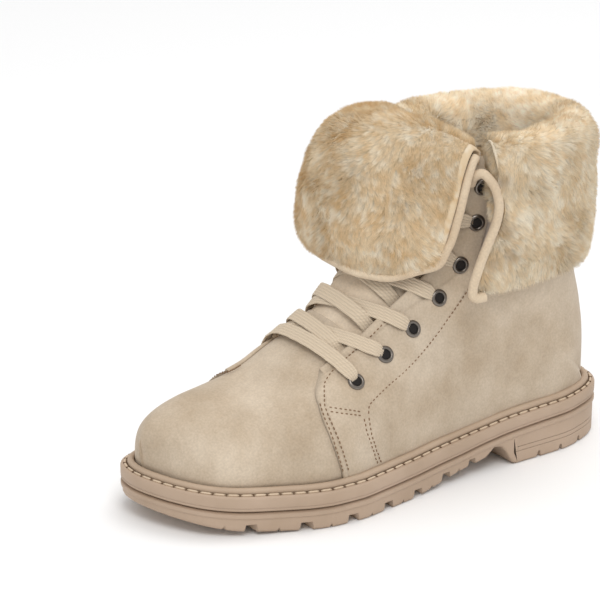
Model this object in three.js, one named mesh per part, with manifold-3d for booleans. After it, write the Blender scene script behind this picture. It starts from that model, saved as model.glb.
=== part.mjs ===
// Lace-up ankle boot with a deep fur collar folded down, left foot.
// Millimetres. Toe towards -Y, outer (lateral) side towards +X, up is +Z.
// The origin is the middle of the heel's ground face.
import * as THREE from 'three';
import * as BufferGeometryUtils from 'three/addons/utils/BufferGeometryUtils.js';
import Module from 'manifold-3d';

const wasm = await Module();
wasm.setup();

// Driving sizes
const size = {
  length: 281,       // outsole, heel to toe
  ballWidth: 103,    // outsole across the ball
  heelRear: 36,      // heel ground centre to the back of the sole
  legHeight: 172,    // ground to the leather rim
  feather: 8.2,      // upper's bottom edge, in from the sole edge
  wall: 2.0,         // leather with its backing
  overlay: 1.4,      // quarter leather over the vamp
  gap: 0.3,          // clearance between touching pieces
  weltTop: 2.9,      // height of the welt strip over the midsole
  tongue: 3.2,       // tongue thickness
  laceWidth: 8, laceThick: 1.4,
  eyeletOuter: 4.4, eyeletHole: 2.3,
  piping: 2.2,       // radius of the piped edges
  furDeep: 13.6,     // folded fur off the leather
  lockWidth: 12,     // locks of the fur
};

// Sole edge, a row per station. at: share of length from the heel; sides: shares of ball width
const soleEdge = [
  { at: 0, outer: 0, inner: 0 },
  { at: .01, outer: .155, inner: -.155 },
  { at: .04, outer: .26, inner: -.258 },
  { at: .085, outer: .33, inner: -.325 },
  { at: .146, outer: .378, inner: -.355 },
  { at: .235, outer: .39, inner: -.345 },
  { at: .335, outer: .402, inner: -.332 },
  { at: .44, outer: .431, inner: -.338 },
  { at: .53, outer: .474, inner: -.362 },
  { at: .6, outer: .511, inner: -.397 },
  { at: .656, outer: .535, inner: -.43 },
  { at: .707, outer: .531, inner: -.455 },
  { at: .756, outer: .503, inner: -.473 },
  { at: .8, outer: .46, inner: -.478 },
  { at: .848, outer: .413, inner: -.472 },
  { at: .896, outer: .354, inner: -.447 },
  { at: .938, outer: .268, inner: -.403 },
  { at: .972, outer: .135, inner: -.335 },
  { at: .993, outer: -.01, inner: -.245 },
  { at: 1, outer: -.13, inner: -.13 },
];

// Sole heights in mm: lug face, groove under the midsole, midsole top
const soleRise = [
  { at: 0, ground: 0, groove: 20.6, top: 28.5 },
  { at: .12, ground: 0, groove: 20.4, top: 28.2 },
  { at: .262, ground: 0, groove: 18.9, top: 27 },
  { at: .3, ground: 12, groove: 18, top: 26.2 },
  { at: .318, ground: 12.6, groove: 17.4, top: 25.6 },
  { at: .332, ground: 8.6, groove: 17, top: 25.2 },
  { at: .4, ground: 5.6, groove: 14.6, top: 23.5 },
  { at: .46, ground: 2.4, groove: 13.2, top: 22.2 },
  { at: .53, ground: 0, groove: 12, top: 21 },
  { at: .72, ground: 0, groove: 11.2, top: 20 },
  { at: .86, ground: 2.2, groove: 12.8, top: 21.5 },
  { at: 1, ground: 10, groove: 17, top: 25.5 },
];

// Side profile of the outsole and midsole: in from the edge, and above or below the groove
const outsoleWall = [
  { from: 'ground', rise: 0, inset: 1.6 },
  { from: 'ground', rise: 1.3, inset: .8 },
  { from: 'groove', rise: -3.4, inset: .7 },
  { from: 'groove', rise: -2.8, inset: 0 },
  { from: 'groove', rise: -.9, inset: 0 },
  { from: 'groove', rise: -.15, inset: 2.2 },
];
const midsoleWall = [
  { from: 'groove', rise: .15, inset: 2.2 },
  { from: 'groove', rise: 1.1, inset: .5 },
  { from: 'groove', rise: 2.2, inset: 0 },
  { from: 'top', rise: -1.3, inset: 0 },
  { from: 'top', rise: 0, inset: 1 },
];
// Welt strip round the upper's foot
const weltWall = [
  { rise: 0, inset: 3.6 },
  { rise: 1.3, inset: 3.5 },
  { rise: 2.5, inset: 4.5 },
  { rise: 2.6, inset: 7 },
  { rise: 0, inset: 7 },
];
// Lug notches right across the sole. wide at the ground, narrow at the top
const notches = [
  { at: .095, wide: 3.4, deep: 3.6 }, { at: .15, wide: 3.4, deep: 3.6 }, { at: .205, wide: 3.4, deep: 3.6 },
  { at: .372, wide: 6, deep: 4 }, { at: .438, wide: 7, deep: 4.4 }, { at: .512, wide: 7.4, deep: 4.6 },
  { at: .59, wide: 7.4, deep: 4.6 }, { at: .676, wide: 7.6, deep: 4.6 }, { at: .768, wide: 7.6, deep: 4.6 },
  { at: .864, wide: 7, deep: 4.2 },
];

// Upper sections, toe to collar. Each plane runs from a back or sole point (at, up) to a front or
// top point (topAt, topUp), ups are shares of leg height; up 0 stands on the sole.
// girthAt: station whose foot width the section takes; spread: times that width
// roundTop, roundBack: fullness of the curve; ridge: share of ball width
const sections = [
  { at: .973, up: 0, topAt: .98, topUp: .205, girthAt: .973, spread: 1.04, roundTop: 2.2, roundBack: 6, ridge: -.13 },
  { at: .9722, up: 0, topAt: .9795, topUp: .235, girthAt: .9722, spread: 1.04, roundTop: 2.2, roundBack: 6, ridge: -.13 },
  { at: .968, up: 0, topAt: .974, topUp: .262, girthAt: .968, spread: 1.04, roundTop: 2.3, roundBack: 6, ridge: -.13 },
  { at: .955, up: 0, topAt: .958, topUp: .291, girthAt: .955, spread: 1.045, roundTop: 2.4, roundBack: 6, ridge: -.13 },
  { at: .92, up: 0, topAt: .919, topUp: .321, girthAt: .92, spread: 1.05, roundTop: 2.5, roundBack: 7, ridge: -.13 },
  { at: .87, up: 0, topAt: .868, topUp: .343, girthAt: .87, spread: 1.05, roundTop: 2.6, roundBack: 8, ridge: -.128 },
  { at: .8, up: 0, topAt: .8, topUp: .361, girthAt: .8, spread: 1.045, roundTop: 2.7, roundBack: 8, ridge: -.125 },
  { at: .73, up: 0, topAt: .735, topUp: .392, girthAt: .73, spread: 1.04, roundTop: 2.9, roundBack: 8, ridge: -.12 },
  { at: .66, up: 0, topAt: .69, topUp: .435, girthAt: .66, spread: 1.03, roundTop: 3.3, roundBack: 8, ridge: -.118 },
  { at: .58, up: 0, topAt: .645, topUp: .48, girthAt: .58, spread: 1.03, roundTop: 3.8, roundBack: 8, ridge: -.117 },
  { at: .49, up: 0, topAt: .6, topUp: .53, girthAt: .49, spread: 1.04, roundTop: 4.2, roundBack: 8, ridge: -.116 },
  { at: .39, up: 0, topAt: .558, topUp: .598, girthAt: .4, spread: 1.05, roundTop: 4.5, roundBack: 8, ridge: -.112 },
  { at: .28, up: 0, topAt: .525, topUp: .663, girthAt: .3, spread: 1.04, roundTop: 4.6, roundBack: 7.6, ridge: -.105 },
  { at: .17, up: 0, topAt: .5, topUp: .721, girthAt: .22, spread: 1.03, roundTop: 4.6, roundBack: 7, ridge: -.095 },
  { at: .09, up: 0, topAt: .482, topUp: .767, girthAt: .17, spread: 1.03, roundTop: 4.5, roundBack: 6.8, ridge: -.088 },
  { at: .038, up: 0, topAt: .472, topUp: .802, girthAt: .16, spread: 1.03, roundTop: 4.4, roundBack: 6.5, ridge: -.08 },
  { at: .0335, up: .26, topAt: .462, topUp: .843, girthAt: .16, spread: 1.03, roundTop: 4.3, roundBack: 6.2, ridge: -.073 },
  { at: .041, up: .407, topAt: .452, topUp: .89, girthAt: .16, spread: 1.04, roundTop: 4.1, roundBack: 5.6, ridge: -.066 },
  { at: .06, up: .564, topAt: .444, topUp: .936, girthAt: .16, spread: 1.06, roundTop: 3.9, roundBack: 4.8, ridge: -.058 },
  { at: .073, up: .74, topAt: .44, topUp: .977, girthAt: .16, spread: 1.12, roundTop: 3.7, roundBack: 4.2, ridge: -.05 },
  { at: .077, up: 1, topAt: .438, topUp: 1, girthAt: .16, spread: 1.2, roundTop: 3.5, roundBack: 3.6, ridge: -.045 },
  { at: .079, up: 1.05, topAt: .447, topUp: 1.05, girthAt: .16, spread: 1.22, roundTop: 3.5, roundBack: 3.6, ridge: -.045 },
];
const vampThroatTurn = 9.95, facingTurn = 6.2, tongueTurn = 9.2;

// Front edge of the quarters, from the sole up. at: share of length, up: share of leg height
const quarterFront = [
  { outerAt: .68, innerAt: .742, up: .06 },
  { outerAt: .684, innerAt: .748, up: .13 },
  { outerAt: .697, innerAt: .76, up: .2 },
  { outerAt: .706, innerAt: .773, up: .26 },
  { outerAt: .71, innerAt: .782, up: .31 },
  { outerAt: .705, innerAt: .782, up: .355 },
  { outerAt: .692, innerAt: .776, up: .4 },
  { outerAt: .668, innerAt: .76, up: .44 },
];
// Throat edges, across from the boot's long axis
const throat = { outer: 22, inner: -25 };

// Lace holes, bottom to top. turn: place along the boot, around: share up the section, on each side
const eyeletRows = [
  { outerTurn: 9.05, outerAround: .74, innerTurn: 8.45, innerAround: .72 },
  { outerTurn: 10.35, outerAround: .74, innerTurn: 9.6, innerAround: .7 },
  { outerTurn: 11.5, outerAround: .724, innerTurn: 10.7, innerAround: .72 },
  { outerTurn: 12.9, outerAround: .736, innerTurn: 12, innerAround: .755 },
  { outerTurn: 15.3, outerAround: .756, innerTurn: 13.9, innerAround: .78 },
  { outerTurn: 17.45, outerAround: .712, innerTurn: 16.6, innerAround: .77 },
  { outerTurn: 18.95, outerAround: .692, innerTurn: 18.5, innerAround: .75 },
];

// Helpers
const clamp = (x, a, b) => Math.min(b, Math.max(a, x));
const mix = (a, b, t) => a + (b - a) * t;
const smooth = (a, b, x) => { const t = clamp((x - a) / (b - a), 0, 1); return t * t * (3 - 2 * t); };
const yAt = (at) => size.heelRear - at * size.length;
const atY = (y) => (size.heelRear - y) / size.length;

function curve(x, y) {
  const n = x.length, d = [], m = [];
  for (let i = 0; i < n - 1; i++) d.push((y[i + 1] - y[i]) / (x[i + 1] - x[i]));
  m[0] = d[0];
  m[n - 1] = d[n - 2];
  for (let i = 1; i < n - 1; i++) m[i] = d[i - 1] * d[i] <= 0 ? 0 : 2 * d[i - 1] * d[i] / (d[i - 1] + d[i]);
  return (t) => {
    if (t <= x[0]) return y[0];
    if (t >= x[n - 1]) return y[n - 1];
    let i = 0;
    while (t > x[i + 1]) i++;
    const h = x[i + 1] - x[i], u = (t - x[i]) / h;
    return y[i] * (1 + 2 * u) * (1 - u) ** 2 + y[i + 1] * u * u * (3 - 2 * u)
      + h * m[i] * u * (1 - u) ** 2 - h * m[i + 1] * u * u * (1 - u);
  };
}
const column = (rows, key, name) => curve(rows.map((r) => r[key]), rows.map((r) => r[name]));

const turnOf = (at) => Math.acos(1 - 2 * clamp(at, 0, 1));
const edgeOuter = curve(soleEdge.map((r) => turnOf(r.at)), soleEdge.map((r) => r.outer * size.ballWidth));
const edgeInner = curve(soleEdge.map((r) => turnOf(r.at)), soleEdge.map((r) => r.inner * size.ballWidth));
const rise = {
  ground: column(soleRise, 'at', 'ground'),
  groove: column(soleRise, 'at', 'groove'),
  top: column(soleRise, 'at', 'top'),
};

// Sole outline, heel to toe on the outer side and back on the inner side, moved in by inset
function outline(stations, inset) {
  const ring = [];
  for (let k = 0; k <= stations; k++) {
    const turn = Math.PI * k / stations;
    ring.push([edgeOuter(turn), yAt((1 - Math.cos(turn)) / 2)]);
  }
  for (let k = stations - 1; k > 0; k--) {
    const turn = Math.PI * k / stations;
    ring.push([edgeInner(turn), yAt((1 - Math.cos(turn)) / 2)]);
  }
  const n = ring.length;
  return ring.map((p, i) => {
    const a = ring[(i + n - 1) % n], b = ring[(i + 1) % n];
    const tx = b[0] - a[0], ty = b[1] - a[1], l = Math.hypot(tx, ty);
    return [p[0] + ty / l * inset, p[1] - tx / l * inset];
  });
}

// Width of the outline on one side at a station, moved in by inset
const halfCache = new Map();
function halfAt(at, side, inset) {
  const key = inset.toFixed(2);
  if (!halfCache.has(key)) {
    const m = 240, ring = outline(m, inset);
    halfCache.set(key, [ring.slice(0, m + 1), [ring[0], ...ring.slice(m).reverse()]]);
  }
  const line = halfCache.get(key)[side > 0 ? 0 : 1], y = yAt(at);
  if (y >= line[0][1] || y <= line[line.length - 1][1]) return null;
  for (let i = 0; i < line.length - 1; i++) {
    if (line[i][1] >= y && line[i + 1][1] < y) {
      return mix(line[i][0], line[i + 1][0], (line[i][1] - y) / (line[i][1] - line[i + 1][1]));
    }
  }
  return null;
}

// Mesh building
function toMesh(points, faces) {
  const g = new THREE.BufferGeometry();
  g.setAttribute('position', new THREE.Float32BufferAttribute(points.flat(), 3));
  g.setIndex(faces.flat());
  const w = BufferGeometryUtils.mergeVertices(g, 1e-4);
  const ix = w.index.array, keep = [];
  for (let i = 0; i < ix.length; i += 3) {
    if (ix[i] !== ix[i + 1] && ix[i + 1] !== ix[i + 2] && ix[i] !== ix[i + 2]) keep.push(ix[i], ix[i + 1], ix[i + 2]);
  }
  const p = w.attributes.position.array;
  let volume = 0;
  for (let i = 0; i < keep.length; i += 3) {
    const [a, b, c] = [keep[i] * 3, keep[i + 1] * 3, keep[i + 2] * 3];
    volume += p[a] * (p[b + 1] * p[c + 2] - p[b + 2] * p[c + 1])
      - p[a + 1] * (p[b] * p[c + 2] - p[b + 2] * p[c]) + p[a + 2] * (p[b] * p[c + 1] - p[b + 1] * p[c]);
  }
  if (volume < 0) for (let i = 0; i < keep.length; i += 3) [keep[i + 1], keep[i + 2]] = [keep[i + 2], keep[i + 1]];
  w.setIndex(keep);
  return w;
}
function toSolid(geometry) {
  const g = geometry.clone();
  g.deleteAttribute('normal');
  g.deleteAttribute('uv');
  const w = BufferGeometryUtils.mergeVertices(g, 1e-4);
  return new wasm.Manifold(new wasm.Mesh({
    numProp: 3, vertProperties: new Float32Array(w.attributes.position.array), triVerts: new Uint32Array(w.index.array),
  }));
}
function fromSolid(solid) {
  const mesh = solid.getMesh(), g = new THREE.BufferGeometry(), p = [];
  for (let i = 0; i < mesh.numVert; i++) {
    for (let k = 0; k < 3; k++) p.push(mesh.vertProperties[i * mesh.numProp + k]);
  }
  g.setAttribute('position', new THREE.Float32BufferAttribute(p, 3));
  g.setIndex(Array.from(mesh.triVerts));
  return g;
}
// Rings of equal count joined in order; ends closed by a ladder across, or the last joined to the first
function skin(rings, closed = false) {
  const n = rings[0].length, points = rings.flat(), faces = [];
  const last = closed ? rings.length : rings.length - 1;
  for (let r = 0; r < last; r++) {
    const a = r * n, b = ((r + 1) % rings.length) * n;
    for (let i = 0; i < n; i++) {
      const j = (i + 1) % n;
      faces.push([a + i, a + j, b + j], [a + i, b + j, b + i]);
    }
  }
  if (!closed) {
    for (const [base, flip] of [[0, true], [(rings.length - 1) * n, false]]) {
      const half = Math.floor(n / 2);
      for (let i = 0; i < half; i++) {
        const a = base + i, b = base + i + 1, c = base + (n - i - 1) % n, d = base + (n - i) % n;
        const quad = [[a, b, c], [a, c, d]];
        for (const f of quad) if (new Set(f).size === 3) faces.push(flip ? [f[0], f[2], f[1]] : f);
      }
    }
  }
  return toMesh(points, faces);
}
function stack(stations, rows, height) {
  return skin(rows.map((row) => outline(stations, row.inset).map(([x, y]) => [x, y, height(row, atY(y))])));
}

const group = new THREE.Group();
group.name = 'boot';
function add(name, geometry, color, roughness = .9, metalness = 0) {
  const g = geometry.clone();
  g.deleteAttribute('normal');
  g.computeVertexNormals();
  const mesh = new THREE.Mesh(g, new THREE.MeshStandardMaterial({ color, roughness, metalness }));
  mesh.name = name;
  group.add(mesh);
}

// Outsole, midsole, welt, insole
const stations = 33;
const wallHeight = (row, at) => (row.from === 'ground' ? rise.ground(at) : row.from === 'groove' ? rise.groove(at) : rise.top(at)) + row.rise;
let outsole = toSolid(stack(stations, outsoleWall, wallHeight));
for (const cut of notches) {
  const g = rise.ground(cut.at), w = cut.wide / 2, n = cut.wide / 2 - 1;
  const shape = new THREE.Shape();
  shape.moveTo(-w - .6, g - 3);
  shape.lineTo(w + .6, g - 3);
  shape.lineTo(n, g + cut.deep);
  shape.lineTo(-n, g + cut.deep);
  shape.closePath();
  const bar = new THREE.ExtrudeGeometry(shape, { depth: 160, bevelEnabled: false });
  bar.rotateX(Math.PI / 2);
  bar.rotateZ(Math.PI / 2);
  bar.translate(-80, yAt(cut.at), 0);
  bar.computeBoundingBox();
  bar.translate(-(bar.boundingBox.min.x + bar.boundingBox.max.x) / 2, 0, 0);
  outsole = outsole.subtract(toSolid(bar));
}
add('outsole', fromSolid(outsole), 0xb69c86);
add('midsole', stack(stations, midsoleWall, wallHeight), 0xb9a08a);
const onTop = (at) => rise.top(at) + size.gap;
{
  const loops = weltWall.map((row) => outline(stations, row.inset).map(([x, y]) => [x, y, onTop(atY(y)) + row.rise]));
  const rings = loops[0].map((_, i) => loops.map((loop) => loop[i]));
  add('welt', skin(rings, true), 0xbba48c);
}
const insoleWall = [{ inset: 10.8, rise: 0 }, { inset: 10.8, rise: 3 }];
add('insole', stack(26, insoleWall, (row, at) => onTop(at) + row.rise), 0xcdb795);

// The upper's surface
const turns = sections.map((_, i) => i);
const sec = {};
for (const key of ['at', 'up', 'topAt', 'topUp', 'girthAt', 'spread', 'roundTop', 'roundBack', 'ridge']) {
  sec[key] = curve(turns, sections.map((r) => r[key]));
}
function profile(t, offset) {
  const at = sec.at(t), sole = 1 - smooth(14.6, 15.4, t);
  const standing = onTop(at);
  let back = { y: yAt(at), z: t <= 15 ? standing : Math.max(mix(standing, sec.up(t) * size.legHeight, smooth(15, 16, t)), standing) };
  let top = { y: yAt(sec.topAt(t)), z: sec.topUp(t) * size.legHeight };
  const e = .05, t0 = Math.max(0, t - e), t1 = Math.min(21, t + e);
  const ty = yAt(sec.topAt(t1)) - yAt(sec.topAt(t0)), tz = (sec.topUp(t1) - sec.topUp(t0)) * size.legHeight;
  const tl = Math.hypot(ty, tz) || 1;
  top = { y: top.y - tz / tl * offset, z: top.z + ty / tl * offset };
  if (t > 14.6) back.y += offset * (1 - sole);
  return { at, back, top, sole };
}
// A point of the upper: t along the boot, v from the sole or back line to the ridge, side +1 outer
function upperPoint(t, v, side, offset = 0, drop = 0) {
  const p = profile(t, offset);
  const inset = size.feather;
  const centreTop = sec.ridge(t) * size.ballWidth;
  const centreBack = mix(0, centreTop, 1 - smooth(9, 14, t));
  const centre = mix(centreBack, centreTop, v), middle = (centreTop + centreBack) / 2;
  const girthLine = halfAt(Math.min(sec.girthAt(t), .9995), side, inset - offset);
  if (girthLine === null) return [centre, mix(p.back.y, p.top.y, v), mix(p.back.z - drop, p.top.z, v)];
  const full = sec.spread(t) * Math.abs(girthLine - middle) ;
  const footLine = halfAt(p.at, side, inset - offset);
  const foot = footLine === null ? 0 : Math.abs(footLine - centreBack) * p.sole;
  const k = clamp(foot / full, 0, 1);
  const back = Math.sqrt(k * k + (1 - k * k) * (1 - (1 - v) ** sec.roundBack(t)));
  const over = Math.sqrt(Math.max(0, 1 - v ** sec.roundTop(t)));
  return [centre + side * full * back * over, mix(p.back.y, p.top.y, v), mix(p.back.z - drop * p.sole, p.top.z, v)];
}
const shares = [0, .04, .11, .24, .42, .58, .7, .81, .9, .965, 1];
const innerShares = [0, .07, .2, .42, .62, .77, .89, .96, 1];
const sharesFor = (offset) => (offset < 0 ? innerShares : shares);
function upperRing(t, offset, drop = 0, lowCut = 0) {
  const shares = sharesFor(offset);
  const at = (v, side) => upperPoint(t, v, side, offset * smooth(lowCut - .05, lowCut, v || 0), drop);
  const ring = shares.map((v) => at(v, 1));
  for (let i = shares.length - 2; i >= 0; i--) ring.push(at(shares[i], -1));
  return ring;
}
const upperTurns = [.5, 1, 1.5, 2, 2.5, 3, 4, 5, 6, 7, 8, 9, 10, 11, 12, 13, 13.7, 14.2, 14.6, 15, 15.5, 16.2, 17.2, 18.2, 19.1, 20];
const innerTurns = [.5, 1, 2, 3, 4, 5.5, 7, 8.5, 10, 11.5, 13, 14, 14.6, 15, 15.7, 17, 18.5, 20];
function tipRing(t, offset, drop) {
  const p = profile(t, offset), x = sec.ridge(t) * size.ballWidth;
  const list = sharesFor(offset), n = list.length;
  return Array.from({ length: 2 * n - 1 }, (_, i) => {
    const v = list[i < n ? i : 2 * n - 2 - i];
    return [x, mix(p.back.y, p.top.y, v), mix(p.back.z - drop, p.top.z, v)];
  });
}
function upperLoft(offset, { from = 0, drop = 0, above = 0, lowCut = 0 } = {}) {
  let start = from;
  if (from === 0 && offset < 0) while (halfAt(sec.at(start), 1, size.feather - offset) === null) start += .02;
  const rings = [];
  if (from === 0) rings.push(tipRing(start, offset, drop));
  for (const t of offset < 0 ? innerTurns : upperTurns) if (t > start + .12) rings.push(upperRing(t, offset, drop, lowCut));
  if (from > 0) rings.unshift(upperRing(from, offset, drop, lowCut));
  if (above > 0) rings.push(rings[rings.length - 1].map(([x, y, z]) => [x, y, z + above]));
  return toSolid(skin(rings));
}
// The slot between the two rows of lace holes
function slot(fromTurn, low, outer, inner, toTurn = 21, above = 12) {
  const rings = [];
  const list = [fromTurn, ...upperTurns.filter((t) => t > fromTurn + .2), toTurn];
  for (const t of list) {
    const p = profile(t, 0), reach = 14 / Math.hypot(p.top.y - p.back.y, p.top.z - p.back.z);
    const at = (x, v) => [x, mix(p.back.y, p.top.y, v), mix(p.back.z, p.top.z, v)];
    rings.push([at(outer, low), at(outer, 1 + reach), at(inner, 1 + reach), at(inner, low)]);
  }
  const end = rings[rings.length - 1];
  rings.push(end.map(([x, y, z]) => [x, y, z + above]));
  return toSolid(skin(rings));
}
// Side-view region behind the front edge of the quarters, on one side of the foot
function behindFront(key, side) {
  const shape = new THREE.Shape();
  const rows = quarterFront;
  shape.moveTo(yAt(rows[0][key]) + 3, -5);
  for (const r of rows) shape.lineTo(yAt(r[key]), r.up * size.legHeight);
  shape.lineTo(yAt(rows[rows.length - 1][key]) + 10, 260);
  shape.lineTo(120, 260);
  shape.lineTo(120, -5);
  shape.closePath();
  const slab = new THREE.ExtrudeGeometry(shape, { depth: 90, bevelEnabled: false });
  const m = new THREE.Matrix4().makeBasis(new THREE.Vector3(0, 1, 0), new THREE.Vector3(0, 0, 1), new THREE.Vector3(1, 0, 0));
  slab.applyMatrix4(m);
  slab.translate(side > 0 ? -6 : -96, 0, 0);
  return toSolid(slab);
}
const outerSkin = upperLoft(0);
const quarterSkin = upperLoft(size.overlay, { from: 4, lowCut: .1 });
const longSlot = slot(facingTurn, .5, throat.outer, throat.inner);
const shortSlot = slot(vampThroatTurn, .5, throat.outer, throat.inner);
const innerSkin = upperLoft(-size.wall, { drop: 8, above: 8 });
const quarters = quarterSkin.intersect(behindFront('outerAt', 1).add(behindFront('innerAt', -1))).subtract(longSlot);
const footOpening = toSolid(stack(stations, [{ inset: size.feather + size.wall, rise: -8 }, { inset: size.feather + size.wall, rise: 4.5 }],
  (row, at) => onTop(at) + row.rise));
let upper = outerSkin.add(quarters).subtract(innerSkin).subtract(shortSlot).subtract(footOpening);

// A point off the upper's front surface with the direction there. reach: 0 at the ridge, +1 and -1
// well down the outer and inner side
const aroundAt = (reach) => 1 - .3 * reach * reach;
const reachOf = (around) => Math.sqrt((1 - around) / .3);
function onUpper(t, reach, offset) {
  const at = (turn, r) => new THREE.Vector3(...upperPoint(turn, aroundAt(r), r < 0 ? -1 : 1, offset));
  const e = .05, d = .03, point = at(t, reach);
  const along = at(Math.min(t + e, 21), reach).sub(at(t - e, reach)), across = at(t, reach + d).sub(at(t, reach - d));
  return { point, normal: new THREE.Vector3().crossVectors(across, along).normalize() };
}
function reachAt(t, x, offset) {
  const side = Math.sign(x);
  let lo = 0, hi = 1.1;
  for (let i = 0; i < 30; i++) {
    const r = (lo + hi) / 2;
    if (side * (onUpper(t, side * r, offset).point.x - x) < 0) lo = r; else hi = r;
  }
  return side * (lo + hi) / 2;
}

// Eyelets and their holes
const eyeletAt = [];
for (const row of eyeletRows) {
  for (const side of ['outer', 'inner']) {
    const t = row[side + 'Turn'], reach = (side === 'outer' ? 1 : -1) * reachOf(row[side + 'Around']);
    eyeletAt.push({ side, t, reach, ...onUpper(t, reach, size.overlay) });
  }
}
const ringProfile = [[size.eyeletHole, 0], [size.eyeletOuter, 0], [size.eyeletOuter - .5, .9], [size.eyeletHole + .35, 1.1]];
const ringLift = size.gap + .25, ringSides = 8;
function around(e, k, r, z) {
  const a = k * 2 * Math.PI / ringSides, frame = new THREE.Quaternion().setFromUnitVectors(new THREE.Vector3(0, 0, 1), e.normal);
  return new THREE.Vector3(r * Math.cos(a), r * Math.sin(a), z).applyQuaternion(frame).add(e.point).toArray();
}
const disc = (e, radius, low, high) => skin([low, high].map((z) => Array.from({ length: ringSides }, (_, k) => around(e, k, radius, z))));
eyeletAt.forEach((e, i) => {
  upper = upper.subtract(toSolid(disc(e, size.eyeletHole + .6, -9, 5)));
  const rings = [];
  for (let k = 0; k < ringSides; k++) rings.push(ringProfile.map(([r, z]) => around(e, k, r, z + ringLift)));
  e.mesh = skin(rings, true);
  e.name = `eyelet_${e.side}_${Math.floor(i / 2) + 1}`;
});
add('upper', fromSolid(upper), 0xc4ab8c);
for (const e of eyeletAt) add(e.name, e.mesh, 0x5b5652, .35, .8);

// Tongue, under both facings and the vamp's throat edge
const tongueEnd = 19.9;
function tongueSolid(grow) {
  const nt = 12, nx = 8, face = -(size.wall + size.gap + 1.5), rows = [];
  const edge = curve([9, 12, 15, 20], [.8, .8, .84, .86]);
  for (let i = 0; i <= nt; i++) {
    const t = mix(tongueTurn, tongueEnd, i / nt), row = [];
    const put = (j, offset) => {
      const s = mix(-1, 1, j / nx);
      row.push(upperPoint(t, 1 - (1 - edge(t) + grow * .02) * s * s, s < 0 ? -1 : 1, offset));
    };
    for (let j = 0; j <= nx; j++) put(j, face + grow);
    for (let j = nx; j >= 0; j--) put(j, face - size.tongue - grow);
    rows.push(row);
  }
  if (grow) rows.push(rows[rows.length - 1].map(([x, y, z]) => [x, y, z + grow]));
  return skin(rows);
}
add('tongue', tongueSolid(0), 0xc2a98b);

// Piped edges as a round cord along a line of points
function cord(points, radius, trim = 0, count = 6) {
  const v = points.map((p) => new THREE.Vector3(...p)), rings = [];
  let side = null;
  for (let i = 0; i < v.length; i++) {
    const t = v[Math.min(i + 1, v.length - 1)].clone().sub(v[Math.max(i - 1, 0)]).normalize();
    if (!side) side = new THREE.Vector3(.3, .5, .8).cross(t).normalize();
    side = side.clone().addScaledVector(t, -side.dot(t)).normalize();
    const other = t.clone().cross(side);
    rings.push(Array.from({ length: count }, (_, k) => {
      const a = k * 2 * Math.PI / count;
      return v[i].clone().addScaledVector(side, radius * Math.cos(a)).addScaledVector(other, radius * Math.sin(a)).toArray();
    }));
  }
  return skin(rings.slice(trim, rings.length - trim));
}

// Room the leather takes up, with a gap on either face
const leather = upperLoft(size.overlay + size.gap, { from: 11, above: size.gap })
  .subtract(upperLoft(-(size.wall + size.gap), { from: 10, above: 12 }))
  .subtract(slot(facingTurn, .5, throat.outer - size.gap - .3, throat.inner + size.gap + .3));
// Room the rings of the top lace holes take up
const topRings = eyeletAt.slice(-2).map((e) => toSolid(disc(e, size.eyeletOuter + size.gap, -size.gap, 2)));
// Leg oval by height: half widths as shares of ball width, reach behind and in front of the leg's
// centre as shares of length
const legAt = .258;
const leg = [
  { up: .57, outer: .345, inner: .359, behind: .199, front: .299 },
  { up: .651, outer: .335, inner: .35, behind: .19, front: .27 },
  { up: .756, outer: .335, inner: .35, behind: .185, front: .228 },
  { up: .872, outer: .345, inner: .354, behind: .183, front: .198 },
  { up: 1, outer: .359, inner: .369, behind: .181, front: .18 },
  { up: 1.105, outer: .359, inner: .369, behind: .18, front: .18 },
];
const legSize = {};
for (const [key, whole] of [['outer', 'ballWidth'], ['inner', 'ballWidth'], ['behind', 'length'], ['front', 'length']]) {
  const share = column(leg, 'up', key);
  legSize[key] = (z) => share(z / size.legHeight) * size[whole];
}
// Section of the folded collar. out: off the leg's leather, share of the fur's depth; up: share of
// leg height. Runs up the inside, over the rim, down the outside and back up against the leather
const collarSection = [
  { out: -.625, up: .907 }, { out: -.662, up: .959 }, { out: -.551, up: 1.012 }, { out: -.184, up: 1.047 },
  { out: .257, up: 1.052 }, { out: .699, up: 1.029 }, { out: .956, up: .977 }, { out: 1, up: .884 },
  { out: .985, up: .791 }, { out: .941, up: .698 }, { out: .853, up: .634 }, { out: .632, up: .602 },
  { out: .4, up: .605 }, { out: .3, up: .686 }, { out: .26, up: .814 }, { out: .24, up: .93 },
  { out: .24, up: 1.0045 }, { out: -.29, up: 1.0045 }, { out: -.32, up: .91 },
];
const sectionRow = collarSection.map((_, j) => j);
const sectionOut = curve(sectionRow, collarSection.map((r) => r.out * size.furDeep));
const sectionUp = curve(sectionRow, collarSection.map((r) => r.up * size.legHeight));
// Front edges of the collar, by height: stations on the outer and the inner side
const collarEnd = [
  { up: .57, outer: .372, inner: .392 },
  { up: .651, outer: .358, inner: .38 },
  { up: .744, outer: .334, inner: .358 },
  { up: .849, outer: .312, inner: .338 },
  { up: .93, outer: .322, inner: .345 },
  { up: 1.058, outer: .328, inner: .352 },
];
const collarEndAt = { outer: column(collarEnd, 'up', 'outer'), inner: column(collarEnd, 'up', 'inner') };
function legPoint(turn, z, out) {
  const c = Math.cos(turn), sn = Math.sin(turn);
  const a = sn >= 0 ? legSize.outer(z) : legSize.inner(z), b = c >= 0 ? legSize.behind(z) : legSize.front(z);
  const nx = sn / a, ny = c / b, l = Math.hypot(nx, ny);
  return [a * sn + nx / l * out, yAt(legAt) + b * c + ny / l * out];
}
// Turn round the leg at which the collar ends on one side
function endTurn(name, z) {
  const at = collarEndAt[name](z / size.legHeight), reach = at < legAt ? legSize.behind(z) : legSize.front(z);
  return (name === 'outer' ? 1 : -1) * Math.acos(clamp((legAt - at) * size.length / reach, -1, 1));
}
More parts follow.
